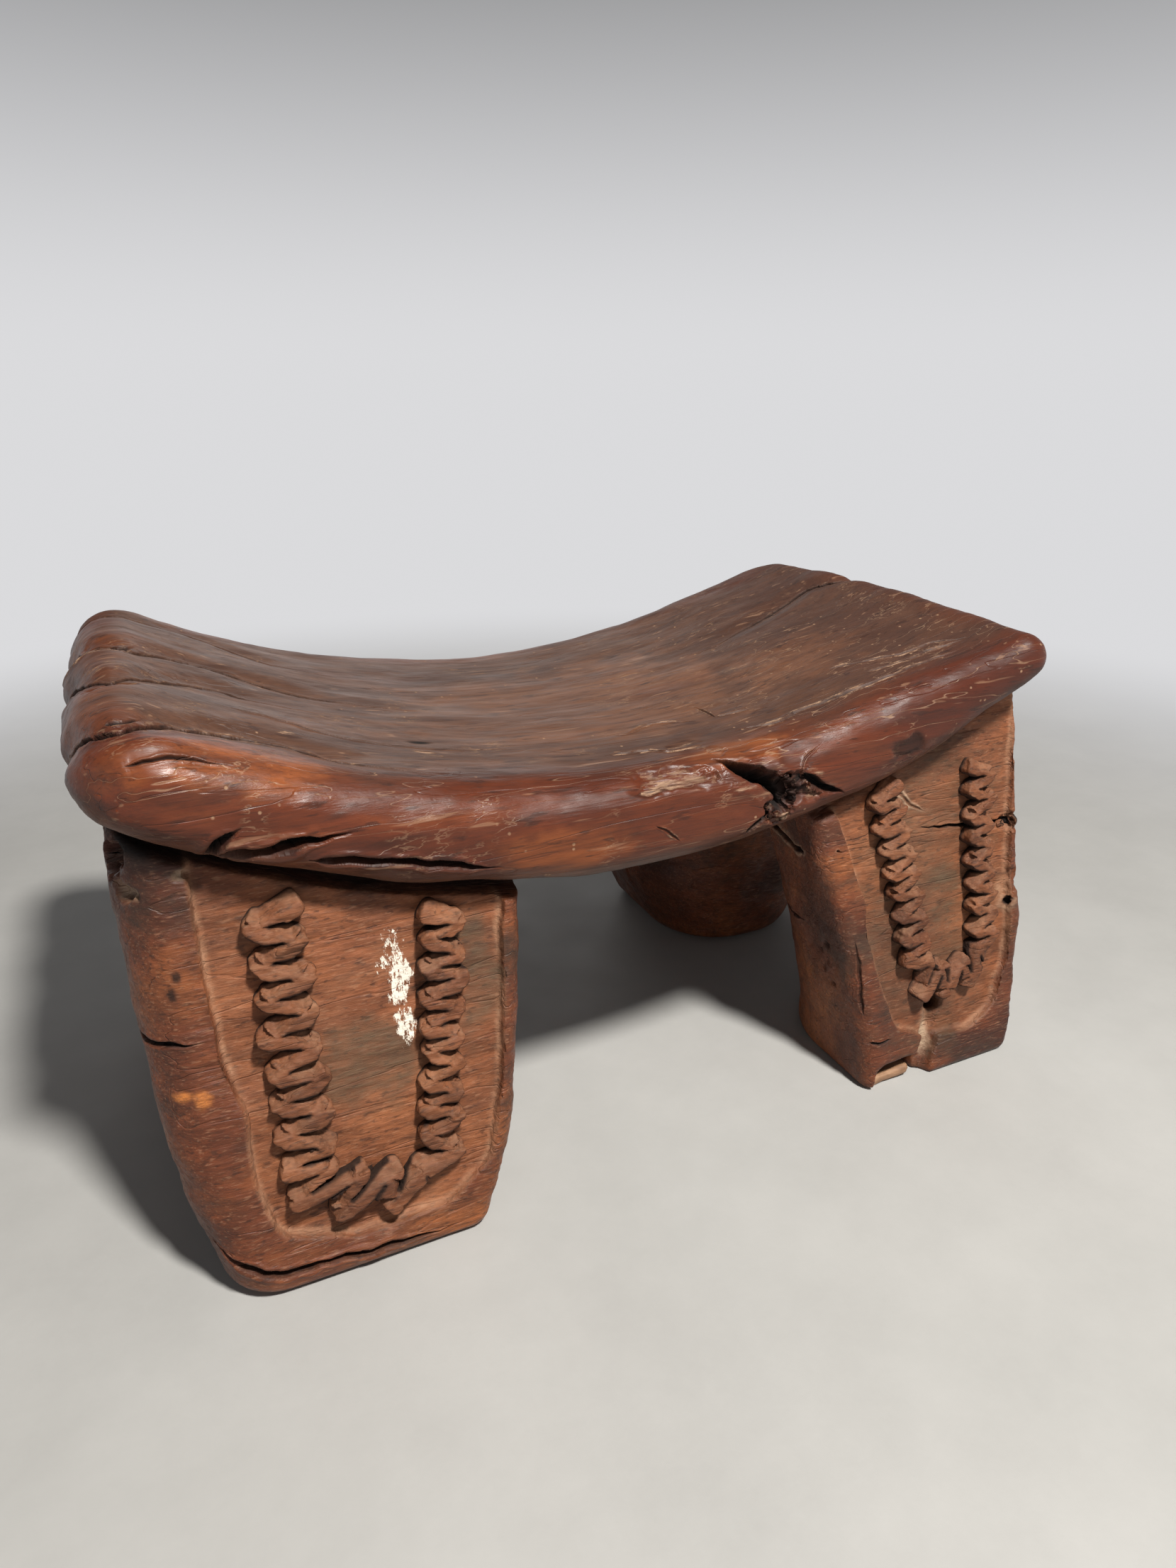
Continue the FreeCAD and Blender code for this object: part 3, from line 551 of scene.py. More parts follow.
# ---------------------------------------------------------------- the legs
class Leg:
    """One leg, laid out at the front; the back ones are the same turned half round."""

    def __init__(self, node, turned, inner, outer, panel, columns, foot_run, teeth, half_widths,
                 cracks=(), holes=(), notch=None, sole_round=9.0, recess=6.5, corner=19.0, heel_in=0.0,
                 seed=1):
        self.node, self.turned, self.seed = node, turned, seed
        self.sole_round, self.recess = sole_round, recess
        self.corner, self.heel_in = corner, heel_in
        self.inner, self.outer = np.array(inner, float), np.array(outer, float)
        self.side = 1 if self.outer[-1, 0] > 0 else -1
        self.panel, self.columns, self.foot_run = panel, columns, foot_run
        self.teeth, self.half_widths = teeth, half_widths
        self.cracks, self.holes, self.notch = cracks, holes, notch

    def width_at(self, z):
        inner = np.interp(z, self.inner[:, 1], self.inner[:, 0])
        outer = np.interp(z, self.outer[:, 1], self.outer[:, 0])
        return inner, outer

    def place(self, points):
        """From face coordinates (x, up the face, out of the face) to the object's frame."""
        u, v, w = points.T
        y = -FOOT_FACE + v * FACE_SIN - w * FACE_COS
        z = v * FACE_COS + w * FACE_SIN
        turn = -1 if self.turned else 1
        return np.stack([u * turn, y * turn, z], axis=1)

    def panel_distance(self, u, v):
        flat = np.stack(np.broadcast_arrays(u, v, 0.0), axis=-1)
        wave = 0.9 * layered(flat, 22, self.seed + 70)
        return outline_distance(u, v, self.panel) - PANEL_ROUND + wave

    def field(self, u, v, w):
        y = -FOOT_FACE + v * FACE_SIN - w * FACE_COS
        z = v * FACE_COS + w * FACE_SIN
        inner, outer = self.width_at(z)
        centre, half = (inner + outer) / 2, np.abs(outer - inner) / 2
        front = -FOOT_FACE + FACE_SLOPE * z
        heel = -FOOT_HEEL + HEEL_SLOPE * z - self.heel_in * (1 - step(0, 100, z))
        middle, depth = (front + heel) / 2, (heel - front) / 2
        outwards = (u - centre) * self.side > 0
        in_front = np.where(outwards, self.corner, INNER_FRONT)
        behind = np.where(outwards, OUTER_BACK, INNER_BACK)
        radius = np.where(y < middle, in_front, behind)
        radius = np.minimum(radius, half - 1)
        body = rounded_pair(np.abs(u - centre) - half, np.abs(y - middle) - depth, radius)
        body = smooth_max(body, -z, self.sole_round)
        below = under_seat(np.clip(u, -330, 330)) - z
        body = np.maximum(body, -below - 3.0)
        body = smooth_max(body, w + self.recess * (1 - step(4.0, 8.5, below)), 1.2)
        panel = smooth_max(self.panel_distance(u, v), -(w + PANEL_DEPTH), 2.4)
        body = smooth_max(body, -panel, 1.3)
        for (hu, hv), hole_radius, hole_depth in self.holes:
            hole = smooth_max(np.hypot(u - hu, v - hv) - hole_radius, -(w + hole_depth), 2.0)
            body = smooth_max(body, -hole, 1.4)
        if self.notch:
            body = self.cut_notch(body, u, v, w, z)
        return body

    def cut_notch(self, body, u, v, w, z):
        """The opening under the foot and the shallow channel that leads down to it."""
        left, right, height = self.notch
        arch = (left + right) / 2
        opening = smooth_max(np.abs(u - arch) - (right - left) / 2,
                             z - height + ((u - arch) / 12) ** 2 * 1.4, 5.0)
        opening = smooth_max(opening, -(w + NOTCH_DEPTH), 4.0)
        body = smooth_max(body, -opening, 2.2)
        channel, _ = line_distance(u, v, CHANNEL)
        groove = np.hypot(channel, (w + 1.5) * 0.8) - CHANNEL_RADIUS
        return smooth_max(body, -groove, 2.5)

    def make(self):
        low = [min(self.inner[:, 0].min(), self.outer[:, 0].min()) - MARGIN, LEG_LOW, LEG_DEEP]
        high = [max(self.inner[:, 0].max(), self.outer[:, 0].max()) + MARGIN, LEG_HIGH, LEG_PROUD]
        u, v, w = sample(low, high, VOXEL)
        surface = Surface(self.field(u, v, w), low, VOXEL)
        p = surface.points
        normals = surface.normals()
        foot = step(0, 14, self.place(p)[:, 2])
        rough = 1.1 * layered(p, (44, 34, 34), self.seed + 1) + 0.4 * layered(p, (16, 9, 9), self.seed + 4)
        rough = rough + 0.16 * layered(p, (9, 1.6, 1.6), self.seed + 7, 2)
        surface.push(rough * foot, normals)
        cut_cracks(surface, self.cracks)
        inside = self.panel_distance(surface.points[:, 0], surface.points[:, 1])
        on_face = step(-12, -6, surface.points[:, 2])
        edge = np.exp(-((inside + 0.7) / 1.1) ** 2) * on_face
        surface.mark("dust", edge * (0.65 + 0.5 * noise(surface.points, 12, self.seed + 30)))
        surface.mark("panel", step(1.5, -1.5, inside) * on_face)
        # Painted shade in the recess just under the seat, stronger for a deeper recess.
        place = self.place(surface.points)
        below = under_seat(place[:, 0] * (-1 if self.turned else 1)) - place[:, 2]
        surface.mark("crack_and_shade", (1 - step(4.5, 9.0, below)) * min(self.recess / 12, 1) * 0.9)
        return surface

    def teeth_line(self):
        """The zigzag down one column, along the foot run and up the other column."""
        tips = []
        for (start, end), half, count in zip(self.columns, self.half_widths, self.teeth):
            start, end = np.array(start, float), np.array(end, float)
            run = (end - start) / np.linalg.norm(end - start)
            across = np.array([run[1], -run[0]])
            for k in range(2 * count + 1):
                jitter = lattice(np.array([[self.seed, k, i] for i in range(2)]), len(tips))
                side = 1 if k % 2 else -1
                centre = start + (end - start) * k / (2 * count)
                tips.append(centre + across * side * half * (1 + 0.10 * jitter[0]) + run * jitter[1] * 0.9)
            if len(tips) < 2 * count + 2:
                tips += [np.array(place, float) for place in self.foot_run]
        return tips

    def band_outline(self, u, v, tips):
        """Signed distances to the zigzag and to its cuts, and how high each point lies on its stroke."""
        best = np.full(u.shape, FAR)
        across = np.zeros(u.shape)
        for start, end, after in zip(tips, tips[1:], np.append(tips[2:], tips[-2:-1], axis=0)):
            length = np.linalg.norm(end - start)
            span = (end - start) / length
            stroke = np.clip(0.37 * np.linalg.norm(after - start), STROKE - 0.4, STROKE + 0.6)
            along = (u - start[0]) * span[0] + (v - start[1]) * span[1]
            side = (v - start[1]) * span[0] - (u - start[0]) * span[1]
            past = along - np.clip(along, 0, length)
            d = (np.abs(past) ** BLUNT + np.abs(side) ** BLUNT) ** (1 / BLUNT) - stroke
            up = np.sign(span[0]) * side
            across = np.where(d < best, up, across)
            best = np.minimum(best, d)
        cuts = np.full(u.shape, FAR)
        for before, tip, after in zip(tips, tips[1:], tips[2:]):
            out = (before + after) / 2 - tip
            reach = np.linalg.norm(out)
            out = out / reach
            start, length = tip + out * CUT_START, reach + CUT_EXTRA
            t = np.clip(((u - start[0]) * out[0] + (v - start[1]) * out[1]) / length, 0, 1)
            gap = np.hypot(u - start[0] - t * length * out[0], v - start[1] - t * length * out[1])
            cuts = np.minimum(cuts, gap - CUT_POINT - CUT_FLARE * t)
        return smooth_max(best, -cuts, 0.5), across, cuts

    def make_band(self):
        tips = np.array(self.teeth_line())
        low = [tips[:, 0].min() - 7, tips[:, 1].min() - 7, -PANEL_DEPTH - 2.4]
        high = [tips[:, 0].max() + 7, tips[:, 1].max() + 7, -PANEL_DEPTH + BAND_HEIGHT + 2]
        u, v, w = sample(low, high, FINE_VOXEL)
        flat = np.stack(np.broadcast_arrays(u, v, 0.0), axis=-1)[:, :, 0]
        bend = 0.8 * layered(flat, 10, self.seed + 60)[:, :, None]
        outline, across, _ = self.band_outline(u[:, :, :1] + bend, v[:, :, :1] + bend * 0.6, tips)
        outline = outline + 0.4 * noise(flat, 8, self.seed + 65)[:, :, None]
        slope = step(-0.1, 1.0, across / STROKE) * (0.62 + 0.2 * noise(flat, 9, self.seed + 66)[:, :, None])
        tall = (BAND_HEIGHT + 1.0 * noise(flat, (14, 7, 9), self.seed + 61)[:, :, None]) * (1 - slope)
        top = rounded_pair(outline, w + PANEL_DEPTH - tall, 0.9)
        ceiling = w * FACE_SIN + v * FACE_COS - under_seat(u) - 2.0
        field = np.maximum(np.maximum(top, -(w + PANEL_DEPTH + 1.6)), ceiling)
        surface = Surface(field, low, FINE_VOXEL)
        p = surface.points
        normals = surface.normals()
        out = step(-PANEL_DEPTH - 1, -PANEL_DEPTH + 1.5, p[:, 2])
        nicks = (0.42 * layered(p, (7, 4, 4), self.seed + 62)
                 + 0.16 * layered(p, (5, 1.3, 1.3), self.seed + 63, 2))
        surface.push(nicks * out, normals)
        high_part = step(-PANEL_DEPTH + 1.0, -PANEL_DEPTH + BAND_HEIGHT, surface.points[:, 2])
        facing_up = step(0.0, 0.8, normals[:, 1])
        powder = 0.40 + 0.40 * noise(surface.points, 9, self.seed + 64)
        surface.mark("dust", facing_up * powder * (1 - 0.3 * high_part))
        # Painted shade: the cuts, the band's foot and the undersides of its strokes are darkened in the
        # colour.
        bend = 0.8 * layered(np.stack([p[:, 0], p[:, 1], p[:, 2] * 0], axis=-1), 10, self.seed + 60)
        _, _, cuts = self.band_outline(p[:, 0] + bend, p[:, 1] + bend * 0.6, tips)
        sunk = np.maximum(1 - step(0.3, 1.3, cuts), 1 - step(0.2, 2.2, p[:, 2] + PANEL_DEPTH))
        facing_down = step(0.05, 0.7, -normals[:, 1])
        surface.mark("crack_and_shade", np.maximum(facing_down * 0.75, sunk * 0.9))
        surface.mark("panel", np.ones(len(p)))
        return surface


CHANNEL = [(151, 34), (149, 24), (145, 14), (142, 4)]
CHANNEL_RADIUS, NOTCH_DEPTH = 4.6, 30.0

LEGS = [
    Leg("front_left", False,
        inner=[(-81, -5), (-78, 10), (-72, 25), (-66, 46), (-61, 73), (-58, 102), (-55, 129), (-53, 150),
               (-51, 190)],
        outer=[(-173, -5), (-181, 5), (-187, 28), (-191, 50), (-194.5, 75), (-195.5, 100), (-195.5, 165),
               (-192, 190)],
        panel=[(-163, 200), (-163, 140), (-162, 104), (-158, 80), (-158, 52), (-153, 33), (-132, 25),
               (-100, 26), (-87, 36), (-81, 60), (-77, 90), (-74, 120), (-72, 200)],
        columns=[((-146.5, 151), (-147.0, 58)), ((-97.0, 49), (-86.8, 137))],
        foot_run=[(-153, 52), (-142, 48), (-151, 40), (-132, 41), (-137, 31), (-119, 37.5), (-118, 27.5),
                  (-107, 36), (-95, 41)],
        teeth=(7, 8), half_widths=(5.1, 4.2), recess=13.0,
        cracks=[
            Crack([(-184, 27, -8), (-175, 18, -4), (-166, 13, 0), (-157, 11, 0), (-148, 10, 0),
                   (-131, 8, 0), (-116, 7, 0), (-103, 6, 0), (-92, 8, 0)], width=1.6, depth=6, lip=0.7,
                  wander=1.2, seed=101),
            Crack([(-196, 112, -30), (-195, 110, -14), (-189, 109, -3), (-182, 108, 0), (-174, 108, 0)],
                  width=1.1, depth=3, lip=0.3, seed=102),
        ], seed=210),
    Leg("front_right", False,
        inner=[(109, -5), (108, 18), (104, 44), (101, 62), (96, 77), (89, 102), (84, 118), (79, 150),
               (74, 190)],
        outer=[(196, -5), (202, 16), (204, 31), (206, 51), (206, 74), (204, 116), (202, 160), (200, 190)],
        panel=[(88, 200), (103, 145), (112, 118), (119, 100), (122, 73), (127, 52), (134, 36), (150, 29),
               (170, 27), (182, 34), (188, 50), (191, 200)],
        columns=[((120, 150), (140.5, 60)), ((179.5, 60), (176, 152))],
        foot_run=[(142, 47), (151.5, 55), (155.5, 45), (165.5, 54), (170.5, 46)],
        teeth=(8, 8), half_widths=(4.6, 3.5),
        cracks=[
            Crack([(140, 127, -4), (150, 125, -4), (162, 124, -4), (173, 122, -4), (188, 122, -2),
                   (200, 120, -2), (203, 119, -12)], width=1.0, depth=3.0, lip=0.2, ends=(0.3, 0.0),
                  seed=111),
            Crack([(85, 140, -60), (87, 134, -40), (90, 126, -20), (94, 124, -6), (99, 124, 0)], width=1.5,
                  depth=4, lip=0.6, pale=0.5, seed=112),
            Crack([(95, 82, -62), (95, 83, -46), (95, 82, -30)], width=1.6, depth=5, lip=0.3, seed=113),
            Crack([(110, 27, -2), (117, 25, 0), (124, 26, 0)], width=0.8, depth=1.5, seed=114),
            Crack([(197, 83, 0), (201, 78, -4), (203, 77, -12)], width=1.8, depth=3.0, pale=0.3, seed=115),
            Crack([(130, 149, -4), (136, 141, -4), (142, 135, -4), (150, 132, -4)], width=0.9, depth=0.7,
                  pale=0.8, dark=0.1, seed=116),
            Crack([(106, 40, 0), (104, 60, 0), (103, 84, 0)], width=0.8, depth=1.0, dark=0.6, seed=117),
        ],
        holes=[((152.5, 36), 4.4, 24.0)], notch=(114, 141, 12.5), sole_round=5.0, recess=6.0,
        corner=6.0, heel_in=9.0, seed=220),
    Leg("back_right", True,
        inner=[(-95, -5), (-91, 8), (-84, 22), (-75, 40), (-69, 60), (-63, 90), (-58, 130), (-54, 190)],
        outer=[(-177, -5), (-183, 12), (-188, 35), (-192, 70), (-194, 110), (-194, 190)],
        panel=[(-168, 200), (-164, 120), (-161, 60), (-154, 36), (-130, 27), (-112, 29), (-101, 40),
               (-90, 90), (-80, 140), (-78, 200)],
        columns=[((-148, 150), (-150, 52)), ((-106, 46), (-96, 146))],
        foot_run=[(-156, 42), (-140, 50), (-138, 33), (-130, 46), (-122, 31), (-116, 45)],
        teeth=(8, 9), half_widths=(5.2, 4.2),
        cracks=[
            Crack([(-186, 60, -10), (-178, 62, 0), (-170, 60, 0)], width=1.0, depth=3, seed=121),
            Crack([(-170, 14, 0), (-145, 10, 0), (-120, 11, 0)], width=1.1, depth=3, seed=122),
        ], seed=230),
    Leg("back_left", True,
        inner=[(88, -5), (84, 14), (77, 40), (71, 75), (66, 110), (62, 150), (58, 190)],
        outer=[(176, -5), (182, 12), (188, 40), (192, 80), (194, 120), (194, 190)],
        panel=[(78, 200), (84, 130), (93, 70), (102, 38), (120, 29), (146, 28), (158, 38), (164, 70),
               (170, 120), (174, 200)],
        columns=[((96, 150), (108, 54)), ((152, 54), (160, 150))],
        foot_run=[(104, 44), (116, 52), (120, 34), (129, 47), (136, 33), (143, 46)],
        teeth=(8, 8), half_widths=(5.0, 4.7),
        cracks=[
            Crack([(76, 70, -40), (74, 74, -20), (78, 72, -2)], width=1.2, depth=3.5, seed=131),
            Crack([(100, 12, 0), (128, 9, 0), (160, 12, 0)], width=1.0, depth=2.5, seed=132),
        ], seed=240),
]


def make_slip():
    """The loose sliver of pale wood that packs the notch under the front right foot."""
    low, high = (np.array(corner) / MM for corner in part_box("foot_slip"))
    x, y, z = sample(low - SLIP_MARGIN, high + SLIP_MARGIN, SLIP_VOXEL)
    centre = (low + high) / 2 + np.array([2.0, 3.0, 0.0])
    half = (high - low) / 2 - np.array([1.0, 2.0, 0.0])
    body = rounded_pair(np.abs(x - centre[0]) - half[0], np.abs(y - centre[1]) - half[1], 3.0)
    tilt = (x - centre[0]) * 0.05
    body = rounded_pair(body, np.abs(z - centre[2] - tilt) - half[2] + 0.5, 1.6)
    surface = Surface(body, low - SLIP_MARGIN, SLIP_VOXEL)
    rough = 0.35 * layered(surface.points, (12, 4, 4), 91) + 0.12 * layered(surface.points, (8, 1, 1), 92)
    surface.push(rough, surface.normals())
    surface.points[:, 2] = np.maximum(surface.points[:, 2], 0.02)
    return surface.to_object("packing_slip")


# ---------------------------------------------------------------- materials
class Shader:
    """A Principled material whose inputs are fed by nodes."""

    def __init__(self, name):
        self.material = bpy.data.materials.new(name)
        self.material.use_nodes = True
        self.tree = self.material.node_tree
        self.surface = self.tree.nodes["Principled BSDF"]
        self.coords = self.node("ShaderNodeTexCoord").outputs["Object"]

    def node(self, kind, inputs=None, **settings):
        made = self.tree.nodes.new(kind)
        for key, value in settings.items():
            setattr(made, key, value)
        for key, value in (inputs or {}).items():
            self.feed(made.inputs[key], value)
        return made

    def feed(self, socket, value):
        if isinstance(value, bpy.types.NodeSocket):
            self.tree.links.new(value, socket)
        else:
            socket.default_value = value

    def stretched(self, stretch, shift=0.0):
        """The object's own coordinates, drawn out along each axis and moved."""
        inputs = {"Vector": self.coords, "Location": (shift, shift * 2, shift * 3),
                  "Scale": tuple(1 / s for s in stretch)}
        return self.node("ShaderNodeMapping", inputs).outputs[0]

    def noise(self, scale, stretch=(1, 1, 1), detail=4.0, rough=0.55, warp=0.0, shift=0.0):
        """Noise whose lumps are 1/scale metres; stretch lengthens them along each axis."""
        inputs = {"Vector": self.stretched(stretch, shift), "Scale": scale, "Detail": detail,
                  "Roughness": rough, "Distortion": warp}
        return self.node("ShaderNodeTexNoise", inputs).outputs["Fac"]

    def cells(self, scale, stretch=(1, 1, 1)):
        inputs = {"Vector": self.stretched(stretch), "Scale": scale}
        return self.node("ShaderNodeTexVoronoi", inputs).outputs["Distance"]

    def mask(self, name):
        return self.node("ShaderNodeAttribute", attribute_name=name).outputs["Fac"]

    def math(self, operation, a, b=0.0, clamp=False):
        made = self.node("ShaderNodeMath", {0: a, 1: b}, operation=operation, use_clamp=clamp)
        return made.outputs[0]

    def span(self, value, low, high, to_low=0.0, to_high=1.0):
        made = self.node("ShaderNodeMapRange", {"Value": value, "From Min": low, "From Max": high,
                                                "To Min": to_low, "To Max": to_high})
        return made.outputs[0]

    def mix(self, share, a, b, blend="MIX"):
        made = self.node("ShaderNodeMix", data_type="RGBA", blend_type=blend)
        for key, value in (("Factor_Float", share), ("A_Color", a), ("B_Color", b)):
            socket = next(s for s in made.inputs if s.identifier == key)
            if isinstance(value, tuple):
                value = (*value, 1.0)
            self.feed(socket, value)
        return next(s for s in made.outputs if s.identifier == "Result_Color")

    def ramp(self, value, *stops):
        made = self.node("ShaderNodeValToRGB", {"Fac": value})
        elements = made.color_ramp.elements
        while len(elements) < len(stops):
            elements.new(0.5)
        for element, (place, colour) in zip(elements, stops):
            element.position = place
            element.color = (*colour, 1.0)
        return made.outputs["Color"]

    def times(self, a, b):
        return self.math("MULTIPLY", a, b)

    def plus(self, a, b, clamp=False):
        return self.math("ADD", a, b, clamp)

    def minus(self, a, b):
        return self.math("SUBTRACT", a, b)

    def most(self, a, b):
        return self.math("MAXIMUM", a, b)

    def hairlines(self, scale, stretch, width, shift=0.0):
        """Thin wandering lines, where noise passes through its middle value."""
        value = self.noise(scale, stretch, detail=3.0, shift=shift)
        off = self.math("ABSOLUTE", self.minus(value, 0.5))
        return self.span(off, 0.0, width, 1.0, 0.0)

    def flecks(self, colour, tint, strength, limits, *where, **noise):
        """Tints the colour more and more where a noise rises from the lower limit to the upper."""
        return self.mix(self.span(self.noise(*where, **noise), *limits, 0.0, strength), colour, tint)

    def bump(self, height, strength, distance, below=None):
        inputs = {"Height": height, "Strength": strength, "Distance": distance}
        if below is not None:
            inputs["Normal"] = below
        return self.node("ShaderNodeBump", inputs).outputs["Normal"]

    def finish(self, colour, roughness, normal, specular=0.45):
        self.feed(self.surface.inputs["Base Color"], colour)
        self.feed(self.surface.inputs["Roughness"], roughness)
        self.feed(self.surface.inputs["Normal"], normal)
        self.feed(self.surface.inputs["Specular IOR Level"], specular)
        return self.material


def seat_material():
    """Dark satin top with a streaky grain, warmer in the middle, and polished red-brown edges."""
    s = Shader("polished_wood")
    grain = s.noise(170, (14, 1, 1), detail=6, rough=0.62)
    fibre = s.noise(900, (12, 1, 1), detail=4, rough=0.6, shift=0.7)
    streaks = s.noise(64, (20, 1, 1.5), detail=5, rough=0.6, shift=3.1)
    clouds = s.noise(12, (3, 1, 1), detail=3, shift=7.7)
    top = s.ramp(streaks, (0.30, (0.050, 0.021, 0.012)), (0.50, (0.080, 0.034, 0.018)),
                 (0.70, (0.112, 0.048, 0.025)))
    warm = s.times(s.mask("worn"), s.span(clouds, 0.30, 0.65, 0.30, 0.85))
    top = s.mix(warm, top, s.mix(s.span(streaks, 0.3, 0.7), (0.118, 0.045, 0.020), (0.185, 0.074, 0.033)))
    edge = s.ramp(s.noise(19, (3.0, 1, 1), detail=6, rough=0.65, shift=1.9),
                  (0.30, (0.034, 0.008, 0.005)), (0.50, (0.105, 0.024, 0.009)),
                  (0.74, (0.215, 0.060, 0.018)))
    glow = s.times(s.mask("worn"), s.span(clouds, 0.30, 0.60, 0.35, 0.95))
    edge = s.mix(glow, edge, s.mix(s.span(grain, 0.35, 0.65), (0.225, 0.064, 0.018), (0.140, 0.035, 0.011)))
    # The right end of the seat is darker, from the mask set in make_seat.
    edge = s.mix(s.times(s.mask("stain_and_shade"), 0.80), edge, (0.055, 0.012, 0.006))
    top = s.mix(s.times(s.mask("stain_and_shade"), 0.72), top, (0.052, 0.021, 0.014))
    rim = s.mask("rim")
    spread = s.plus(rim, s.span(s.noise(34, (3, 1, 1), shift=5.2), 0.3, 0.7, -0.22, 0.22), clamp=True)
    colour = s.mix(s.span(spread, 0.10, 0.85), top, edge)
    colour = s.mix(s.span(grain, 0.42, 0.74, 0.0, 0.62), colour, (0.030, 0.011, 0.007))
    colour = s.mix(s.span(fibre, 0.48, 0.80, 0.0, 0.55), colour, (0.028, 0.011, 0.007))
    colour = s.flecks(colour, (0.024, 0.009, 0.006), 0.6, (0.60, 0.67), 330, (5, 1, 1), detail=3, shift=2.9)
    colour = s.flecks(colour, (0.300, 0.165, 0.095), 0.35, (0.66, 0.72), 300, (12, 1, 1), detail=2,
                      shift=5.9)
    dirt = s.times(s.span(s.noise(45, (3, 1, 1), detail=8, rough=0.7, shift=9.3), 0.55, 0.70),
                  s.span(rim, 0.0, 1.0, 0.30, 0.75))
    colour = s.mix(dirt, colour, (0.024, 0.012, 0.009))
    scratches = s.times(s.hairlines(70, (12, 1, 1), 0.005, 2.2), s.span(clouds, 0.45, 0.60))
    specks = s.span(s.cells(150), 0.06, 0.12, 1.0, 0.0)
    specks = s.times(specks, s.span(s.noise(26, shift=4.4), 0.50, 0.58))
    worn = s.most(s.times(scratches, 0.5), s.times(specks, 0.65))
    scribble = s.times(s.hairlines(300, (3, 1, 1), 0.03, 6.4),
                      s.span(s.noise(36, detail=2, shift=3.6), 0.60, 0.66))
    worn = s.most(worn, s.times(scribble, 0.34))
    colour = s.mix(worn, colour, (0.340, 0.205, 0.120))
    torn = s.times(s.mask("pale"), s.span(s.noise(380, (7, 1, 1), detail=7, rough=0.75), 0.42, 0.60))
    torn = s.span(torn, 0.22, 0.70)
    fibres = s.ramp(s.noise(800, (10, 1, 1), detail=4, shift=6.1), (0.38, (0.090, 0.042, 0.022)),
                    (0.62, (0.330, 0.205, 0.130)))
    colour = s.mix(torn, colour, fibres)
    # Near-black in the cracks and hollows as painted shade, and at one real dark mark on the top.
    crack_and_shade = s.mask("crack_and_shade")
    colour = s.mix(crack_and_shade, colour, (0.006, 0.003, 0.002))
    rough = s.span(grain, 0.3, 0.8, 0.48, 0.60)
    rough = s.minus(rough, s.times(spread, 0.16))
    rough = s.plus(rough, s.times(s.mask("stain_and_shade"), 0.10))
    rough = s.plus(rough, s.times(s.most(torn, crack_and_shade), 0.4))
    rough = s.plus(rough, s.span(s.noise(70, (3, 1, 1), shift=8.8), 0.3, 0.7, -0.08, 0.08))
    rough = s.plus(rough, s.times(worn, 0.3), clamp=True)
    height = s.plus(s.times(grain, 0.7), s.times(fibre, 0.40))
    height = s.minus(height, s.times(s.hairlines(54, (14, 1, 1), 0.008, 4.9), 0.5))
    height = s.minus(height, s.times(worn, 0.5))
    normal = s.bump(height, 0.6, 0.0006)
    return s.finish(colour, rough, normal, specular=0.30)


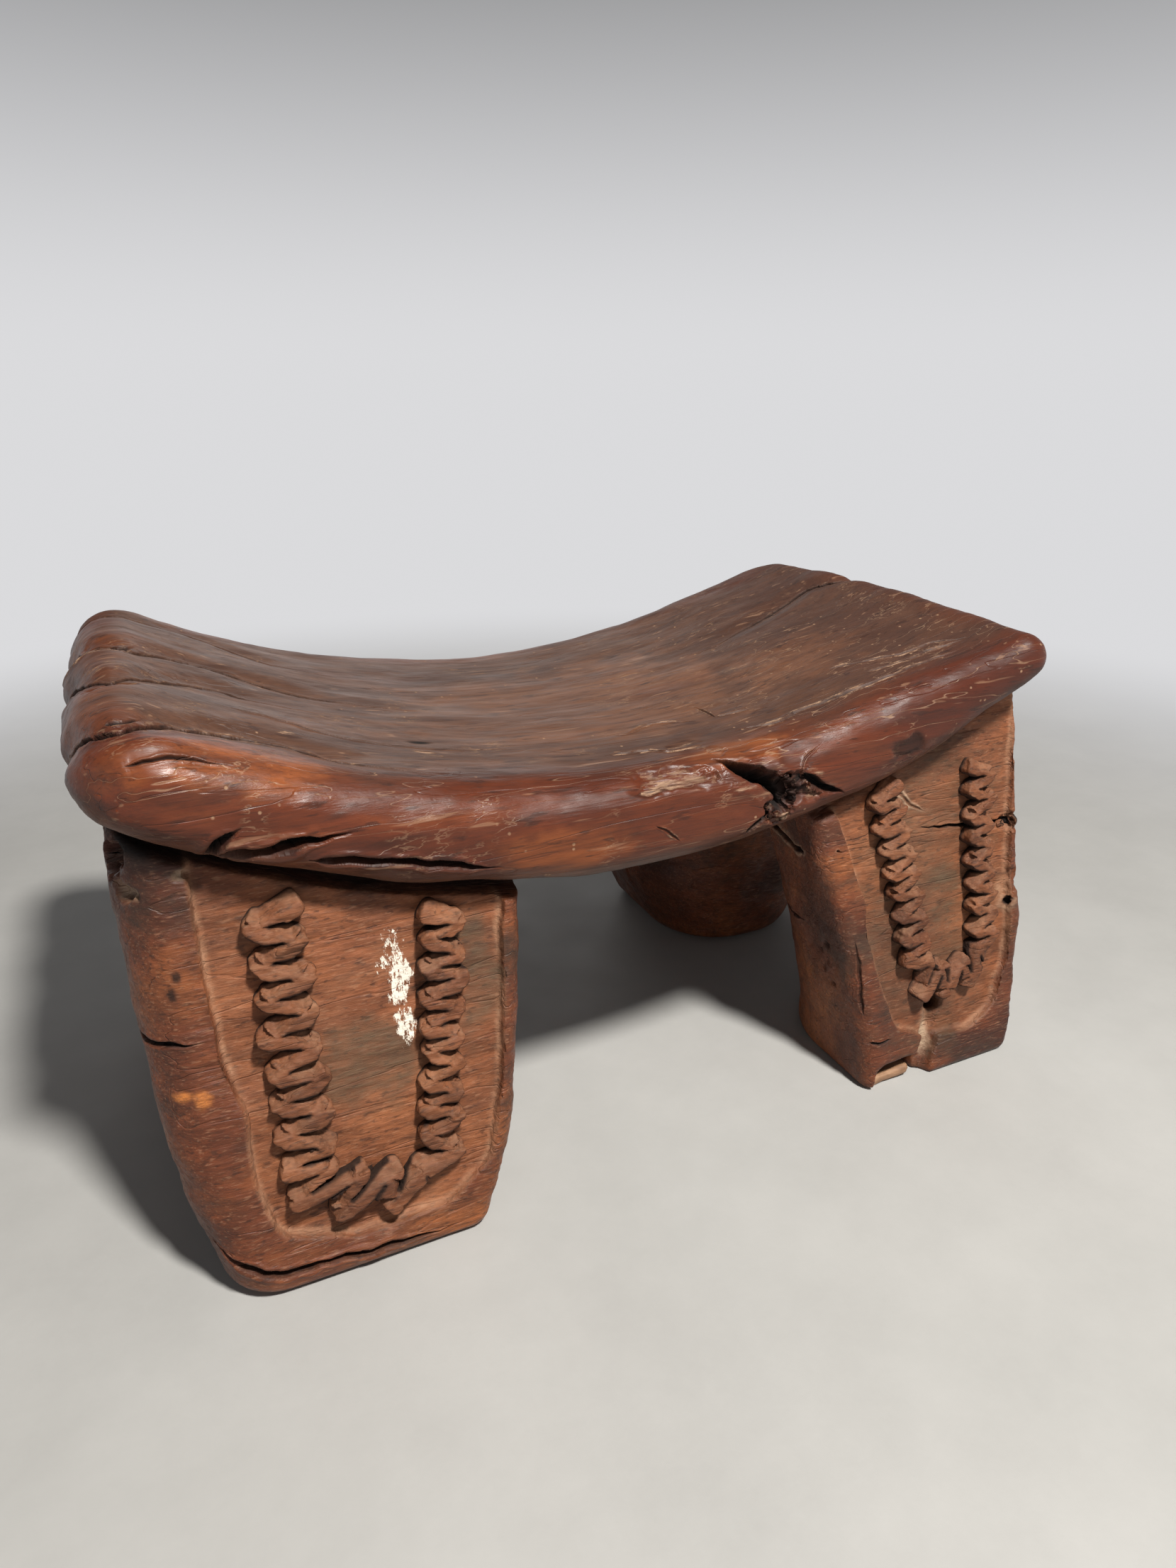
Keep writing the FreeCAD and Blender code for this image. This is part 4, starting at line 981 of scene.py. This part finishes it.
def leg_material(name, shade):
    """Dusty orange-brown carving: reddish worn rims, sooty patches and pale dust in the corners, with
    painted shade in its cracks, hollows and recesses; shade below 1 darkens it all as painted shade.
    """
    s = Shader(name)
    grain = s.noise(150, (6, 1, 1), detail=7, rough=0.65)
    fibre = s.noise(800, (7, 1, 1), detail=5, rough=0.65, shift=0.7)
    patches = s.noise(19, (1.6, 1, 1), detail=5, rough=0.6, shift=2.6)
    rims = s.ramp(patches, (0.36, (0.050, 0.013, 0.007)), (0.50, (0.150, 0.041, 0.016)),
                  (0.64, (0.270, 0.086, 0.028)))
    floor = s.ramp(patches, (0.28, (0.115, 0.036, 0.016)), (0.50, (0.235, 0.078, 0.031)),
                   (0.72, (0.330, 0.120, 0.048)))
    colour = s.mix(s.mask("panel"), rims, floor)
    colour = s.mix(s.span(grain, 0.42, 0.76, 0.0, 0.60), colour, (0.048, 0.017, 0.010))
    colour = s.mix(s.span(fibre, 0.45, 0.75, 0.0, 0.60), colour, (0.036, 0.014, 0.008))
    colour = s.flecks(colour, (0.060, 0.022, 0.012), 0.55, (0.50, 0.66), 75, (3, 1, 1.2), detail=6,
                      rough=0.7, shift=8.3)
    colour = s.flecks(colour, (0.034, 0.013, 0.008), 0.60, (0.57, 0.66), 620, (3.0, 1, 1), detail=4,
                      shift=4.3)
    colour = s.flecks(colour, (0.420, 0.225, 0.130), 0.26, (0.56, 0.68), 1250, (5, 1, 1), detail=3,
                      shift=1.3)
    soot = s.span(s.noise(28, (1.2, 1, 0.8), detail=7, rough=0.7, shift=6.6), 0.52, 0.68, 0.0, 0.85)
    soot = s.times(soot, s.span(s.mask("panel"), 0.0, 1.0, 1.0, 0.45))
    colour = s.mix(soot, colour, (0.036, 0.021, 0.014))
    powder = s.noise(260, (1.5, 1, 1), detail=8, rough=0.75, shift=3.8)
    dust = s.times(s.mask("dust"), s.span(powder, 0.30, 0.65))
    haze = s.times(s.span(s.noise(40, detail=7, rough=0.7, shift=5.5), 0.50, 0.75, 0.0, 0.18),
                   s.mask("panel"))
    dust = s.plus(dust, haze, clamp=True)
    colour = s.mix(dust, colour, (0.400, 0.215, 0.125))
    # Real stains, and on the front right leg a wide patch of painted shade.
    stain_and_shade = s.times(s.mask("stain_and_shade"), s.span(s.noise(110, (2, 1, 1), detail=6, shift=7.1), 0.3, 0.7, 0.25,
                                            0.95))
    colour = s.mix(stain_and_shade, colour, s.mix(s.span(fibre, 0.4, 0.6), (0.052, 0.034, 0.021),
                                        (0.105, 0.072, 0.042)))
    speckle = s.span(s.noise(620, (1, 1, 2.4), detail=6, rough=0.8), 0.32, 0.68, -0.60, 0.60)
    paint = s.span(s.plus(s.mask("paint"), speckle), 0.80, 0.88)
    paint = s.times(paint, s.span(s.mask("paint"), 0.20, 0.45))
    colour = s.mix(paint, colour, (0.740, 0.680, 0.580))
    worn = s.times(s.mask("worn"), s.span(powder, 0.35, 0.60))
    colour = s.mix(worn, colour, (0.500, 0.170, 0.040))
    pale = s.times(s.mask("pale"), s.span(powder, 0.30, 0.60))
    colour = s.mix(pale, colour, (0.430, 0.300, 0.200))
    # Near-black in the cracks, hollows, band cuts and undersides, and under the seat: painted shade.
    crack_and_shade = s.mask("crack_and_shade")
    colour = s.mix(crack_and_shade, colour, (0.009, 0.005, 0.004))
    # Multiplies the colour by shade; below 1, as for the bands, this is painted shade.
    colour = s.mix(1.0, colour, (shade, shade, shade), blend="MULTIPLY")
    rough = s.span(grain, 0.3, 0.8, 0.34, 0.56)
    rough = s.plus(rough, s.times(s.mask("panel"), 0.20))
    rough = s.plus(rough, s.times(s.most(dust, crack_and_shade), 0.35), clamp=True)
    height = s.plus(s.times(grain, 0.9), s.times(fibre, 0.55))
    height = s.minus(height, s.times(s.hairlines(60, (12, 1, 1), 0.010, 1.7), 0.3))
    normal = s.bump(height, 0.8, 0.0011)
    return s.finish(colour, rough, normal, specular=0.28)


def slip_material():
    """Bare, lighter wood with a fine straight grain and grubby patches."""
    s = Shader("pale_wood")
    grain = s.noise(260, (9, 1, 1), detail=6, rough=0.6)
    colour = s.ramp(grain, (0.30, (0.190, 0.092, 0.045)), (0.70, (0.420, 0.245, 0.140)))
    colour = s.mix(s.span(s.noise(80, detail=6, shift=2.0), 0.50, 0.70, 0.0, 0.7), colour,
                   (0.090, 0.045, 0.026))
    normal = s.bump(grain, 0.5, 0.0005)
    return s.finish(colour, s.span(grain, 0.3, 0.8, 0.55, 0.75), normal)


def floor_material():
    """Pale concrete that fades into the walls well away from the object."""
    s = Shader("pale_floor")
    colour = s.ramp(s.noise(6, detail=8, rough=0.7), (0.3, (0.350, 0.344, 0.330)),
                    (0.7, (0.415, 0.408, 0.392)))
    normal = s.bump(s.noise(300, detail=6), 0.15, 0.0004)
    away = s.node("ShaderNodeVectorMath", {0: s.coords}, operation="LENGTH").outputs["Value"]
    share = s.node("ShaderNodeMapRange", {"Value": away, "From Min": FLOOR_RADIUS * 0.3,
                                          "From Max": FLOOR_RADIUS * 0.8},
                   interpolation_type="SMOOTHSTEP").outputs[0]
    glow = s.node("ShaderNodeEmission", {"Color": WALL_COLOUR, "Strength": WALL_LIGHT}).outputs[0]
    blend = s.node("ShaderNodeMixShader", {0: share, 1: s.surface.outputs[0], 2: glow}).outputs[0]
    s.feed(s.tree.nodes["Material Output"].inputs["Surface"], blend)
    return s.finish(colour, s.span(s.noise(30), 0.3, 0.7, 0.55, 0.70), normal)


# ---------------------------------------------------------------- assembly
def put(piece, node, material):
    piece.data.materials.append(material)
    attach(piece, "root")
    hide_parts(node)
    return piece


# Marks seen on the front legs only, in face coordinates: the mask, centre, radii, seed and strength.
LEG_MARKS = {
    "front_left": [
        ("paint", (-107, 127, -4), (9, 20, 8), 301, 0.68),
        ("paint", (-105.5, 114, -4), (6, 18, 8), 307),
        ("paint", (-105.5, 93, -4), (5.5, 12, 8), 302, 0.9),
        ("crack_and_shade", (-180.3, 132.9, -1), (1.6, 2.6, 6), 308, 0.85),
        ("crack_and_shade", (-182.6, 127.0, -1), (1.6, 3.2, 6), 309, 0.85),
        ("stain_and_shade", (-121, 83, -4), (30, 19, 9), 303),
        ("stain_and_shade", (-75, 105, -2), (9, 34, 9), 304),
        ("worn", (-185, 89, -4), (4, 3, 9), 305),
        ("worn", (-179, 87, -2), (4, 4, 9), 306),
        # Painted shade in the gap between the top of the leg's outer rim and the seat.
        ("crack_and_shade", (-186, 181, -2), (17, 7.5, 14), 315),
    ],
    "front_right": [
        ("stain_and_shade", (158, 92, -4), (14, 26, 9), 321),
        # Painted shade: a wide dark patch over most of the front right leg's face.
        ("stain_and_shade", (150, 95, -4), (52, 95, 14), 327, 0.55),
        ("dust", (148, 24, -4), (6, 14, 9), 322),
        ("pale", (147, 20, -4), (4, 12, 9), 323),
        ("dust", (194, 84, -2), (6, 9, 8), 324),
    ],
}
# Hollows in the front legs: the centre, radii, depth, seed, roughness, how pale they are, and how much
# shade is painted into them.
LEG_HOLLOWS = {
    "front_left": [
        ((-201, 175, -12), (13, 11, 22), 11.0, 310, 2.4, 0.0, 0.9),
        ((-196, 163, -6), (7, 6, 10), 4.0, 313, 1.8, 1.0),
        ((-172, 168, 0), (5, 3, 5), 1.5, 314, 0.8, 0.9),
    ],
    "front_right": [
        ((199, 120, -2), (7, 5, 10), 2.6, 325, 1.2, 0.0, 0.25),
        ((201, 88, -2), (4, 9, 8), 1.8, 326, 1.0),
    ],
}
# Worm holes in the inner side of the front right leg, each with shade painted into it: how high up the face
# and how far out of it.
WORM_HOLES = ((69, -24), (74, -18), (64, -19), (59, -24), (53, -18), (43, -30), (39, -42))
for i, (v, w) in enumerate(WORM_HOLES):
    LEG_HOLLOWS["front_right"].append(((99, v, w), (4, 2.2, 3.0), 1.7, 330 + i, 0.3, 0.0, 0.7))

seat = put(make_seat(), "seat", seat_material())
carving = leg_material("carved_wood", 1.0)
# The bands take the carving's colours darkened to 0.76 of them: painted shade.
shaded_band_wood = leg_material("carved_band_shaded", 0.76)
for leg in LEGS:
    body = leg.make()
    for mark in LEG_MARKS.get(leg.node, []):
        splash(body, *mark)
    for hollow in LEG_HOLLOWS.get(leg.node, []):
        scoop(body, *hollow)
    carved = body.to_object(leg.node + "_carved_leg", leg.place)
    put(carved, leg.node + "_leg", carving)
    zigzag = leg.make_band().to_object(leg.node + "_zigzag", leg.place)
    put(zigzag, leg.node + "_band", shaded_band_wood)
put(make_slip(), "foot_slip", slip_material())

# ---------------------------------------------------------------- floor, light and camera
bpy.ops.mesh.primitive_circle_add(radius=FLOOR_RADIUS, vertices=180, fill_type="NGON")
ground = bpy.context.object
ground.name = "floor"
ground.data.materials.append(floor_material())

# Pale walls all round, darker overhead.
world = bpy.data.worlds.new("studio")
bpy.context.scene.world = world
world.use_nodes = True
nodes, links = world.node_tree.nodes, world.node_tree.links
direction = nodes.new("ShaderNodeSeparateXYZ")
links.new(nodes.new("ShaderNodeTexCoord").outputs["Generated"], direction.inputs[0])
walls = nodes.new("ShaderNodeMapRange")
walls.interpolation_type = "SMOOTHSTEP"
limits = {"From Min": WALL_HEIGHT, "From Max": CEILING_HEIGHT,
          "To Min": WALL_LIGHT, "To Max": CEILING_LIGHT}
for socket, value in limits.items():
    walls.inputs[socket].default_value = value
links.new(direction.outputs["Z"], walls.inputs["Value"])
backdrop = nodes["Background"]
backdrop.inputs["Color"].default_value = WALL_COLOUR
links.new(walls.outputs[0], backdrop.inputs["Strength"])


def area_light(name, place, target, size, power, colour):
    data = bpy.data.lights.new(name, "AREA")
    data.shape = "DISK"
    data.size = size
    data.energy = power
    data.color = colour
    lamp = bpy.data.objects.new(name, data)
    lamp.location = place
    aim = np.array(target, float) - np.array(place, float)
    flat = math.hypot(aim[0], aim[1])
    lamp.rotation_euler = (math.pi / 2 + math.atan2(aim[2], flat), 0, math.atan2(-aim[0], aim[1]))
    bpy.context.scene.collection.objects.link(lamp)


area_light("key", (0.14, -0.78, 1.30), (0, 0, 0.1), 0.18, 36, (1.0, 0.975, 0.93))
area_light("fill", (-1.3, -0.9, 0.7), (0, 0, 0.1), 1.2, 0.7, (0.95, 0.97, 1.0))
area_light("back", (0.3, 1.4, 0.8), (0, 0, 0.15), 1.0, 2.4, (1.0, 0.98, 0.95))

camera_data = bpy.data.cameras.new("camera")
camera_data.lens = LENS
camera_data.sensor_width = SENSOR_WIDTH
camera = bpy.data.objects.new("camera", camera_data)
camera.location = CAMERA_PLACE
camera.rotation_euler = (math.radians(90 - CAMERA_DOWN), 0, math.radians(-CAMERA_RIGHT))
bpy.context.scene.collection.objects.link(camera)
bpy.context.scene.camera = camera
bpy.context.scene.view_settings.view_transform = "Standard"
